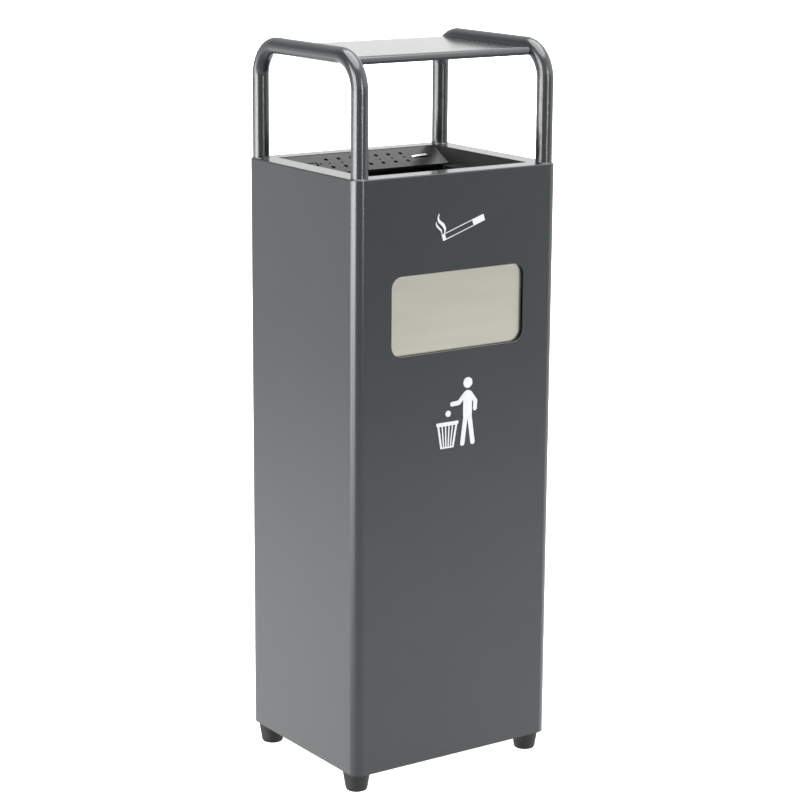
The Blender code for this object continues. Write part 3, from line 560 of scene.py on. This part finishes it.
def flap():
    """The flap: brushed sheet with a wrapped eye on its rod and a folded lip at its foot."""
    low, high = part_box("flap_plate")
    eye, eye_bore = 0.0032, 0.0022
    thick, fold = 0.0012, 0.0022
    axis_y, axis_z = low.y + eye, high.z - eye
    front = axis_y - thick / 2
    seam_level = axis_z - 0.0025
    outer = [(front, seam_level)]
    outer += arc((front + fold, low.z + fold), fold, 180, 270, 6)
    outer += [(high.y, low.z)]
    inner = [(high.y, low.z + thick)]
    inner += arc((front + fold, low.z + fold), fold - thick, 270, 180, 6)
    inner += [(front + thick, seam_level)]
    sheet = prism("flap_skin", outer + inner, low.x, high.x)
    seam = rod("eye", (low.x, axis_y, axis_z), (high.x, axis_y, axis_z), eye, 40)
    combine(sheet, [seam], "UNION")
    bore = rod("bore", (low.x - REACH, axis_y, axis_z), (high.x + REACH, axis_y, axis_z), eye_bore, 24)
    combine(sheet, [bore])
    soften(sheet, 0.00025, 2, 50)
    piece(sheet, "stainless", "flap", ("flap_plate",), 40)


def prism(name, outline, start, stop):
    """An outline in (y, z) stretched along x."""
    bm = bmesh.new()
    face = bm.faces.new([bm.verts.new((start, y, z)) for y, z in outline])
    made = bmesh.ops.extrude_face_region(bm, geom=[face])["geom"]
    bmesh.ops.translate(bm, verts=[item for item in made if isinstance(item, bmesh.types.BMVert)],
                        vec=(stop - start, 0, 0))
    bmesh.ops.recalc_face_normals(bm, faces=bm.faces)
    return new_object(name, bm)


# ---------------------------------------------------------------- ashtray


PLATE_SLOPE = math.radians(23.0)
PLATE_LENGTH = 0.0463
PLATE_REAR, PLATE_FRONT = 0.1176, 0.1126
PLATE_ORIGIN = Vector((0, 0.099, RIM - 0.0002))
PLATE_TO_WORLD = Matrix.Translation(PLATE_ORIGIN) @ Matrix.Rotation(PLATE_SLOPE, 4, "X")
FIRST_ROW, PITCH_X, PITCH_Y = 0.0137, 0.019, 0.0095
LARGE_HOLE, SMALL_HOLE = 0.0029, 0.0016
# Each tongue's root, how far its end stands up, and its finish. The right tongue's bright zinc finish is a
# painted highlight: it stands for the bright reflection on that tongue, while the left tongue keeps the
# plate's black coat.
TONGUES = ((-0.098, 0.0003, "black_powder"), (0.070, 0.0016, "zinc_plated"))
PAN_SHEET = 0.0012
PAN_LEDGE = RIM - 0.018
PAN_TOP = RIM - 0.0006
PAN_LEAN = 0.0047
# The pan's box: its half width, front and rear
PAN_BOX = (0.093, -0.074, 0.086)


def taper(thing, extra=0.0):
    """Turns a block from x = -1 to 1 into the plate's outline, wider at the rear."""
    for vert in thing.data.vertices:
        vert.co.x *= (PLATE_REAR if vert.co.y > -PLATE_LENGTH / 2 else PLATE_FRONT) + extra


def stubbing_plate():
    """The sloping plate: a grid of holes and two lanced slots, each with its tongue."""
    plate = block("stubbing_plate_skin", (-1, -PLATE_LENGTH, -PAN_SHEET), (1, 0, 0))
    taper(plate)
    front, inside, under = -PLATE_LENGTH, -PLATE_LENGTH + PAN_SHEET, -0.0002
    lips = [block("lip", (-0.088, front, -0.004), (0.088, inside, under))]
    for _, side in SIDES:
        near, far = sorted((0.100 * side, 0.110 * side))
        lips.append(block("tab", (near, front, -0.007), (far, inside, under)))
    combine(plate, lips, "UNION")
    cuts = []
    for row in range(3):
        radius = SMALL_HOLE if row == 1 else LARGE_HOLE
        for column in range(-3, 4):
            x, y = column * PITCH_X, -FIRST_ROW - row * PITCH_Y
            cuts.append(rod("hole", (x, y, -REACH), (x, y, REACH), radius, 24))
    middle = -FIRST_ROW - PITCH_Y
    slot_length, slot_half, dot_away = 0.024, 0.0045, 0.0036
    for start, _, _ in TONGUES:
        end = start + slot_length
        cuts.append(block("slot", (start, middle - slot_half, -REACH), (end, middle + slot_half, REACH),
                          corners=(2, 0.0008, 3)))
        x = end + dot_away
        cuts.append(rod("dot", (x, middle, -REACH), (x, middle, REACH), SMALL_HOLE, 24))
    tongues = [tongue(start, middle, 0.0215, rise) for start, rise, _ in TONGUES]
    combine(plate, cuts)
    plate.data.transform(PLATE_TO_WORLD)
    soften(plate, 0.00018, 2, 50)
    piece(plate, "black_powder", "stubbing_plate", ("stubbing_plate",), 40)
    # The right tongue's zinc finish is a painted highlight, in place of the light that it reflects.
    for strip, (_, _, finish) in zip(tongues, TONGUES):
        strip.data.transform(PLATE_TO_WORLD)
        soften(strip, 0.00018, 2, 50)
        piece(strip, finish, "stubbing_plate", (), 40)


def tongue(root, middle, length, rise):
    """A strip that bends up out of the plate from its root on the left."""
    half, overlap, steps = 0.0021, 0.0006, 12
    thickness = PAN_SHEET - 0.00002
    points = []
    for step in range(steps + 1):
        share = step / steps
        points.append((root - overlap + (length + overlap) * share, rise * share ** 0.5))
    outline = points + [(x, z - thickness) for x, z in reversed(points)]
    bm = bmesh.new()
    face = bm.faces.new([bm.verts.new((x, middle - half, z)) for x, z in outline])
    made = bmesh.ops.extrude_face_region(bm, geom=[face])["geom"]
    bmesh.ops.translate(bm, verts=[item for item in made if isinstance(item, bmesh.types.BMVert)],
                        vec=(0, 2 * half, 0))
    bmesh.ops.recalc_face_normals(bm, faces=bm.faces)
    return new_object("tongue", bm)


def vessel(name, rings, thickness, corner_radius, segments):
    """An open-topped sheet vessel with rounded corners. Each ring is (half x, y low, y high, z)."""
    bm = bmesh.new()
    previous = None
    for half, front, rear, level in rings:
        radius = min(corner_radius, half - 0.001)
        loop = []
        for sx, cy, start in ((1, rear, 0), (-1, rear, 90), (-1, front, 180), (1, front, 270)):
            centre = (sx * (half - radius), cy - radius if cy == rear else cy + radius)
            for x, y in arc(centre, radius, start, start + 90, segments):
                loop.append(bm.verts.new((x, y, level)))
        if previous:
            count = len(loop)
            for i in range(count):
                j = (i + 1) % count
                bm.faces.new((previous[i], previous[j], loop[j], loop[i]))
        else:
            bm.faces.new(list(reversed(loop)))
        previous = loop
    bmesh.ops.recalc_face_normals(bm, faces=bm.faces)
    floor = min(bm.faces, key=lambda face: face.calc_center_median().z)
    if floor.normal.z > 0:
        bmesh.ops.reverse_faces(bm, faces=bm.faces)
    made = new_object(name, bm)
    modifier = made.modifiers.new("sheet", "SOLIDIFY")
    modifier.thickness = thickness
    modifier.offset = -1.0
    modifier.use_even_offset = True
    modifier.use_quality_normals = True
    return settle(made)


def ash_pan():
    """The folded pan: a deep box, a ledge and leaning walls up to the rim."""
    half, front, rear = PAN_BOX
    play, room_gap = 0.0007, 0.0004
    top_x, top_y = RIM_OPENING[0] - play, RIM_OPENING[1] - play
    low_x, low_y = top_x - PAN_LEAN, top_y - PAN_LEAN
    under = PAN_LEDGE - PAN_SHEET
    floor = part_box("ash_pan")[0].z
    rings = ((half, front, rear, floor), (half, front, rear, under), (low_x, -low_y, low_y, under),
             (top_x, -top_y, top_y, PAN_TOP))
    pan = vessel("ash_pan_skin", rings, PAN_SHEET, 0.0007, 2)
    cuts = []
    for _, side in SIDES:
        near, far = sorted((0.091 * side, 0.113 * side))
        cuts.append(block("notch", (near, 0.0415, PAN_LEDGE - REACH), (far, 0.058, PAN_LEDGE + GAP)))
    room = block("room", (-1, -PLATE_LENGTH - room_gap, -PAN_SHEET - room_gap), (1, room_gap, 0.02))
    taper(room, room_gap)
    room.data.transform(PLATE_TO_WORLD)
    combine(pan, cuts + [room])
    soften(pan, 0.0002, 2, 50)
    piece(pan, "black_powder", "ash_pan", ("ash_pan",), 40)


# ---------------------------------------------------------------- feet


def feet():
    """The tapered cup feet, with softened edges and a recess underneath for the screw."""
    bore, recess_depth = 0.0034, 0.0070
    for side_name, _ in SIDES:
        for end_name, _ in ENDS:
            node = f"foot_{end_name}_{side_name}"
            low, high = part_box(node)
            x, y = (low.x + high.x) / 2, (low.y + high.y) / 2
            top, wide = high.z, (high.x - low.x) / 2
            shoulder = [(wide - 0.0004, top), (wide - 0.0001, top - 0.0003), (wide, top - 0.0009)]
            toe = [(0.0141, 0.0038), (0.0139, 0.0026), (0.0135, 0.0014), (0.0129, 0.0004), (0.0121, 0.0)]
            recess = [(0.0078, 0.0), (0.0074, 0.0006), (0.0070, recess_depth), (bore, recess_depth)]
            profile = [(bore, top)] + shoulder + toe + recess
            cup = lathe(node + "_cup", profile, (x, y, 0), UP, 64, closed=True)
            piece(cup, "black_plastic", "body", (node,), 35)


# ---------------------------------------------------------------- door and lock


def rear_door():
    """The door tray with rounded folds, and the hole for its lock."""
    low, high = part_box("rear_door")
    door = block("rear_door_skin", low, high)
    bm = bmesh.new()
    bm.from_mesh(door.data)
    edges = [edge for edge in bm.edges if min(vert.co.y for vert in edge.verts) > high.y - 1e-6]
    bmesh.ops.bevel(bm, geom=edges, offset=0.0014, segments=5, profile=0.5, affect="EDGES")
    bm.to_mesh(door.data)
    bm.free()
    barrel_low, barrel_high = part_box("lock_barrel")
    middle = (barrel_low + barrel_high) / 2
    lock_hole, bush_hole = 0.0083, 0.0033
    cuts = [block("hollow", (low.x + SHEET, low.y - REACH, low.z + SHEET),
                  (high.x - SHEET, high.y - SHEET, high.z - SHEET)),
            rod("lock_hole", (middle.x, low.y, middle.z), (middle.x, high.y + REACH, middle.z),
                lock_hole, 48)]
    for end in ("lower", "upper"):
        bush_low, bush_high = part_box(f"pivot_bush_{end}")
        centre = (bush_low + bush_high) / 2
        cuts.append(rod("bush_hole", (centre.x, centre.y, bush_low.z - 0.002),
                        (centre.x, centre.y, bush_high.z + 0.002), bush_hole, 32))
    combine(door, cuts)
    piece(door, "anthracite", "door", ("rear_door",), 35)


def door_lock():
    """The lock's domed collar, and the spindle with a triangular drive."""
    low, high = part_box("lock_barrel")
    centre = Vector(((low.x + high.x) / 2, HALF_Y, (low.z + high.z) / 2))
    profile = [(0.0043, 0.0009), (0.0047, 0.0012), (0.0088, 0.0012), (0.0098, 0.0009), (0.0104, GAP + 0.0002),
               (0.0105, GAP), (0.0080, GAP), (0.0080, -0.0130), (0.0043, -0.0130)]
    barrel = lathe("lock_collar", profile, centre, (0, 1, 0), 64, closed=True)
    piece(barrel, "zinc_plated", "door", ("lock_barrel",), 30)
    profile = [(0.0, 0.0002), (0.0036, 0.0002), (0.0040, -0.0002), (0.0040, -0.0132), (0.0022, -0.0132),
               (0.0022, -0.0080), (0.0, -0.0080)]
    spindle = lathe("lock_key_drive", profile, centre, (0, 1, 0), 48)
    recess = rod("recess", centre + Vector((0, 0.002, 0)), centre + Vector((0, -0.0045, 0)), 0.0036, 24)
    combine(spindle, [recess])
    triangle = rod("drive", centre + Vector((0, -0.0050, 0)), centre + Vector((0, 0.0001, 0)), 0.0029, 3)
    combine(spindle, [triangle], "UNION")
    piece(spindle, "zinc_plated", "lock", ("lock_spindle",), 30)


# ---------------------------------------------------------------- liner


def liner():
    """The plain liner with a rolled hem, and its wire handle."""
    low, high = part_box("liner_bucket")
    x, y = 0.102, 0.088
    sheet, curl, hem_drop = 0.001, 0.002, 0.0065
    hem = high.x - x - sheet
    top = high.z - sheet
    rings = [(x, -y, y, low.z), (x, -y, y, top - curl)]
    for angle in range(0, 181, 30):
        turn = math.radians(angle)
        out = (hem / 2) * (1 - math.cos(turn))
        rings.append((x + out, -y - out, y + out, top - curl + curl * math.sin(turn)))
    rings.append((x + hem, -y - hem, y + hem, top - hem_drop))
    bucket = vessel("liner_bucket_skin", rings, sheet, 0.018, 12)
    piece(bucket, "galvanised", "liner", ("liner_bucket",), 50)
    handle_low, handle_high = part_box("liner_handle")
    level = (handle_low.z + handle_high.z) / 2
    reach_x, reach_y, wire_radius = 0.109, 0.095, 0.0024
    inner_bend, outer_bend = 0.004, 0.014
    half = [(x + 0.0009, 0.0)]
    half += arc((reach_x - inner_bend, inner_bend), inner_bend, -90, 0, 10)
    half += arc((reach_x - outer_bend, reach_y - outer_bend), outer_bend, 0, 90, 16)
    plane = half + [(-px, py) for px, py in reversed(half)]
    wire = sweep("liner_handle_wire", [(px, py, level) for px, py in plane], wire_radius, 32)
    piece(wire, "zinc_plated", "liner_handle", ("liner_handle",), 50)


# ---------------------------------------------------------------- printed symbols


# The print's thickness, and the level that its outlines are measured from
PRINT = 0.00012
PRINT_DATUM = RIM - 0.7480


def printed(name, outlines, holes=()):
    """Flat shapes on the front face, from outlines in (x, height above the print's datum)."""
    solids = [stamp(outline, 0.0) for outline in outlines]
    shape = solids[0]
    shape.name = name
    if solids[1:]:
        combine(shape, solids[1:], "UNION")
    if holes:
        combine(shape, [stamp(outline, 0.001) for outline in holes])
    piece(shape, "white_print", "body", angle=30)


def stamp(outline, extra):
    """An outline on the front face as a thin solid, thicker by extra on both sides when it cuts."""
    bm = bmesh.new()
    rear = -HALF_Y - 0.00002 + extra
    face = bm.faces.new([bm.verts.new((x, rear, PRINT_DATUM + z)) for x, z in outline])
    made = bmesh.ops.extrude_face_region(bm, geom=[face])["geom"]
    bmesh.ops.translate(bm, verts=[item for item in made if isinstance(item, bmesh.types.BMVert)],
                        vec=(0, -PRINT - 2 * extra, 0))
    bmesh.ops.recalc_face_normals(bm, faces=bm.faces)
    return new_object("stamp", bm)


def bar(start, stop, width, ends=8):
    """A straight bar with round ends."""
    start, stop = Vector(start), Vector(stop)
    heading = math.degrees(math.atan2(stop.y - start.y, stop.x - start.x))
    if not ends:
        across = Vector((-(stop - start).y, (stop - start).x)).normalized() * width / 2
        return [tuple(start + across), tuple(start - across), tuple(stop - across), tuple(stop + across)]
    return arc(start, width / 2, heading + 90, heading + 270, ends) + arc(stop, width / 2, heading - 90,
                                                                          heading + 90, ends)


def ribbon(points, widths):
    """A band along a smooth curve through the points, with a width at each."""
    points = [Vector(point) for point in points]
    left, right = [], []
    steps = 8
    count = len(points) - 1
    for index in range(count * steps + 1):
        place = min(index / steps, count - 1e-6)
        span = int(place)
        t = place - span
        p0 = points[max(span - 1, 0)]
        p1, p2 = points[span], points[span + 1]
        p3 = points[min(span + 2, count)]
        here = 0.5 * ((2 * p1) + (p2 - p0) * t + (2 * p0 - 5 * p1 + 4 * p2 - p3) * t ** 2
                      + (3 * p1 - p0 - 3 * p2 + p3) * t ** 3)
        along = 0.5 * ((p2 - p0) + 2 * (2 * p0 - 5 * p1 + 4 * p2 - p3) * t
                       + 3 * (3 * p1 - p0 - 3 * p2 + p3) * t ** 2)
        across = Vector((-along.y, along.x)).normalized()
        width = widths[span] + (widths[span + 1] - widths[span]) * t
        left.append(tuple(here + across * width / 2))
        right.append(tuple(here - across * width / 2))
    return left + list(reversed(right))


def smoking_symbol():
    """A cigarette in outline with a filled end at each side, and two curls of smoke."""
    start, stop = Vector((-0.0254, 0.6694)), Vector((0.0368, 0.6900))
    along = (stop - start).normalized()
    thick, line, tip, filter_end = 0.0083, 0.0010, 0.0048, 0.0178
    outer = bar(start, stop, thick, 0)
    inner = bar(start + along * tip, stop - along * filter_end, thick - 2 * line, 0)
    printed("print_cigarette", [outer], [inner])
    curl = [(-0.0225, 0.6746), (-0.0217, 0.6800), (-0.0247, 0.6854), (-0.0301, 0.6900), (-0.0318, 0.6944),
            (-0.0304, 0.6992)]
    printed("print_smoke_tall", [ribbon(curl, (0.0008, 0.0028, 0.0042, 0.0032, 0.0022, 0.0008))])
    curl = [(-0.0264, 0.6746), (-0.0273, 0.6785), (-0.0309, 0.6820), (-0.0342, 0.6858), (-0.0346, 0.6896)]
    printed("print_smoke_short", [ribbon(curl, (0.0006, 0.0018, 0.0024, 0.0020, 0.0006))])


def litter_symbol():
    """A striding figure of round-ended bars that drops a ball of paper into a basket of upright slats."""
    limb, middle = 0.0058, 0.0154
    hip, foot, shoulder = 0.4440, 0.4088, 0.4712
    printed("print_head", [arc((middle, 0.4852), 0.0068, 0, 350, 35)])
    torso = bar((middle, 0.4690), (middle, 0.4450), 0.0134, 12)
    legs = [bar((middle - 0.0028, hip), (middle - 0.0074, foot), 0.0066),
            bar((middle + 0.0028, hip), (middle + 0.0082, foot), 0.0066)]
    throwing = [bar((middle - 0.0038, shoulder), (0.0020, 0.4612), limb),
                bar((0.0020, 0.4612), (-0.0082, 0.4606), limb)]
    resting = [bar((middle + 0.0038, shoulder), (0.0272, 0.4606), limb),
               bar((0.0272, 0.4606), (0.0266, 0.4512), limb)]
    printed("print_figure", [torso] + legs + throwing + resting)
    printed("print_paper", [arc((-0.0140, 0.4492), 0.0040, 0, 340, 17)])
    basket()


def basket():
    """The symbol's basket: a tapered frame with upright slats and a wider bar round its top."""
    top_low, top_high, foot = 0.4352, 0.4388, 0.4056
    frame_outline = [(-0.0303, top_low), (-0.0252, foot), (-0.0054, foot), (0.0001, top_low)]
    left, right, under = -0.0317, 0.0016, top_low - 0.0002
    rim_bar = [(left, under), (right, under), (right, top_high), (left, top_high)]
    columns, margin, line = 5, 0.0019, 0.0018
    holes = [basket_hole(frame_outline, margin, line, columns, column, foot + margin, top_low - 0.0012)
             for column in range(columns)]
    printed("print_basket", [frame_outline, rim_bar], holes)


def basket_hole(outline, margin, line, columns, column, low, high):
    """One gap between two slats of the basket, between its slanted sides."""
    (top_left, top), (foot_left, foot), (foot_right, _), (top_right, _) = outline

    def edge(level, share):
        rise = (level - foot) / (top - foot)
        left = foot_left + (top_left - foot_left) * rise + margin
        right = foot_right + (top_right - foot_right) * rise - margin
        return left + (right - left) * share

    first, second = column / columns, (column + 1) / columns
    inset = line / 2
    return [(edge(low, first) + inset, low), (edge(low, second) - inset, low),
            (edge(high, second) - inset, high), (edge(high, first) + inset, high)]


# ---------------------------------------------------------------- CAD nodes that stay


def finish_remaining_nodes():
    """Gives every CAD node that still shows the material of its slot."""
    slots = {entry["node"]: entry["material_slot"] for entry in frame["record"]["subparts"]}
    for name, node in frame["nodes"].items():
        if node.hide_render:
            continue
        node.data.materials.clear()
        node.data.materials.append(materials[slots[name]])


# ---------------------------------------------------------------- studio


def studio_floor():
    """A plain pale floor that glows enough to show no shadow."""
    made, tree, shader = material("studio_floor", Roughness=0.9, Emission_Color=(1, 1, 1, 1),
                                  Emission_Strength=1.0)
    join(tree, ramp(tree, noise(tree, 2.0, 3.0), ((0.3, 0.90), (0.7, 0.93))), shader, "Base Color")
    bm = bmesh.new()
    bmesh.ops.create_grid(bm, x_segments=4, y_segments=4, size=30.0)
    floor = new_object("studio_floor", bm)
    floor.data.materials.append(made)
    floor.visible_glossy = False


# The studio's soft light by compass direction in degrees: 0 is in front and positive is towards the right
BELOW = ((-180, 1.2), (-144, 1.02), (-122, 0.9), (-60, 0.65), (-48, 0.38), (20, 0.37), (31, 0.34),
         (36, 0.50), (42, 0.85), (60, 1.4), (100, 1.2), (145, 1.15), (165, 1.2), (180, 1.2))
ABOVE = ((-180, 0.8), (-156, 0.6), (-147, 0.30), (-132, 0.35), (-60, 0.9), (0, 1.0), (40, 2.3),
         (60, 2.3), (110, 1.5), (132, 1.30), (146, 1.04), (158, 0.7), (180, 0.8))
FLOOR_GLOW = ((-180, 0.80), (-140, 0.80), (-120, 0.6), (-20, 0.8), (30, 1.0), (180, 1.0))
# Heights, as the sine of the angle above level, between which each part of the light fades in
HORIZON = (0.02, 0.18)
FLOOR_FADE = (-0.185, -0.320)
DEPTH_FADE = (-0.36, -0.60)
DEPTH_LOSS = 0.55
BRIGHTEST = 2.5
# Strip lights: where each fades in and out, by compass and by height, and its level
STRIPS = (((-117, -108, -76, -66), (-0.20, -0.10, 0.30, 0.60), 10.8),
          ((-140, -132, -82, -72), (-0.34, -0.14, -0.14, -0.08), 7.6),
          ((-6, -2, 8, 13), (-0.16, -0.11, 0.30, 0.60), 10.5),
          ((-200, -190, 190, 200), (0.78, 0.86, 1.10, 1.20), 6.0))


def studio_world():
    """Soft light all round with a few strip lights, and a plain white backdrop for the camera."""
    world = bpy.data.worlds.new("studio")
    bpy.context.scene.world = world
    world.use_nodes = True
    tree = world.node_tree
    tree.nodes.clear()
    place = add_node(tree, "TexCoord").outputs["Generated"]
    split = add_node(tree, "SeparateXYZ", {"Vector": place})
    height = split.outputs["Z"]
    back = add_node(tree, "Math", {0: split.outputs["Y"], 1: -1.0}, operation="MULTIPLY")
    compass = add_node(tree, "Math", {0: split.outputs["X"], 1: back.outputs[0]},
                       operation="ARCTAN2").outputs[0]
    turn = add_node(tree, "MapRange", {"Value": compass, "From Min": -math.pi, "From Max": math.pi})
    turn = turn.outputs["Result"]
    below, above, glow = (compass_ramp(tree, turn, levels) for levels in (BELOW, ABOVE, FLOOR_GLOW))
    horizon = fade(tree, height, *HORIZON)
    base = add_node(tree, "Mix", {0: horizon, 6: below, 7: above}, data_type="RGBA").outputs[2]
    light = add_node(tree, "Math", {0: base, 1: BRIGHTEST}, operation="MULTIPLY").outputs[0]
    lit = add_node(tree, "Math", {0: glow, 1: fade(tree, height, *FLOOR_FADE)},
                   operation="MULTIPLY").outputs[0]
    light = add_node(tree, "Math", {0: lit, 1: BRIGHTEST, 2: light}, operation="MULTIPLY_ADD").outputs[0]
    loss = add_node(tree, "Math", {0: fade(tree, height, *DEPTH_FADE), 1: -DEPTH_LOSS, 2: 1.0},
                    operation="MULTIPLY_ADD").outputs[0]
    light = add_node(tree, "Math", {0: light, 1: loss}, operation="MULTIPLY").outputs[0]
    for sides, heights, level in STRIPS:
        sides = [math.radians(degrees) for degrees in sides]
        shape = add_node(tree, "Math", {0: window(tree, compass, *sides), 1: window(tree, height, *heights)},
                         operation="MULTIPLY").outputs[0]
        light = add_node(tree, "Math", {0: shape, 1: level, 2: light}, operation="MULTIPLY_ADD").outputs[0]
    soft = add_node(tree, "Background", {"Color": (1, 1, 1, 1), "Strength": light})
    plain = add_node(tree, "Background", {"Color": (1, 1, 1, 1), "Strength": 1.0})
    camera_ray = add_node(tree, "LightPath").outputs["Is Camera Ray"]
    mixed = add_node(tree, "MixShader", {0: camera_ray, 1: soft.outputs[0], 2: plain.outputs[0]})
    out = add_node(tree, "OutputWorld")
    tree.links.new(mixed.outputs[0], out.inputs["Surface"])


def compass_ramp(tree, turn, levels):
    """Levels of light round the compass, as shares of the brightest."""
    stops = [((degrees + 180) / 360, level / BRIGHTEST) for degrees, level in levels]
    return ramp(tree, turn, stops, "EASE")


def fade(tree, value, start, full):
    """0 at start and 1 at full, with soft ends."""
    node = add_node(tree, "MapRange", {"Value": value, "From Min": start, "From Max": full},
                    interpolation_type="SMOOTHSTEP")
    return node.outputs["Result"]


def window(tree, value, start, full, ease, gone):
    """Rises from start to full, and falls from ease to gone."""
    rise, fall = fade(tree, value, start, full), fade(tree, value, gone, ease)
    return add_node(tree, "Math", {0: rise, 1: fall}, operation="MULTIPLY").outputs[0]


def softbox(name, place, target, width, height, power):
    """A square lamp that lights the object without showing in its reflections."""
    data = bpy.data.lights.new(name, "AREA")
    data.shape = "RECTANGLE"
    data.size, data.size_y = width, height
    data.energy = power
    made = bpy.data.objects.new(name, data)
    made.location = place
    made.rotation_euler = (Vector(target) - Vector(place)).to_track_quat("-Z", "Y").to_euler()
    made.visible_camera = False
    made.visible_glossy = False
    bpy.context.scene.collection.objects.link(made)


CAMERA_PLACE = (-1.7259, -2.5170, 1.1882)
PITCH, YAW, ROLL = math.radians(13.332), math.radians(34.433), math.radians(0.366)


def studio_camera():
    data = bpy.data.cameras.new("camera")
    data.lens = 110.53
    data.sensor_width = 36.0
    made = bpy.data.objects.new("camera", data)
    turn = Matrix.Rotation(-YAW, 4, "Z") @ Matrix.Rotation(math.pi / 2 - PITCH, 4, "X")
    turn = turn @ Matrix.Rotation(ROLL, 4, "Z")
    made.matrix_world = Matrix.Translation(CAMERA_PLACE) @ turn
    bpy.context.scene.collection.objects.link(made)
    bpy.context.scene.camera = made


# ---------------------------------------------------------------- assembly


materials = make_materials()
body_wrap()
tube_loops()
canopy_roof()
screws()
flap()
stubbing_plate()
ash_pan()
feet()
rear_door()
door_lock()
liner()
smoking_symbol()
litter_symbol()
finish_remaining_nodes()
studio_floor()
studio_world()
softbox("top_light", (0.2, 0.6, 3.2), (0, 0, 0.5), 3.0, 3.0, 60.0)
studio_camera()
bpy.context.scene.view_settings.view_transform = "Standard"
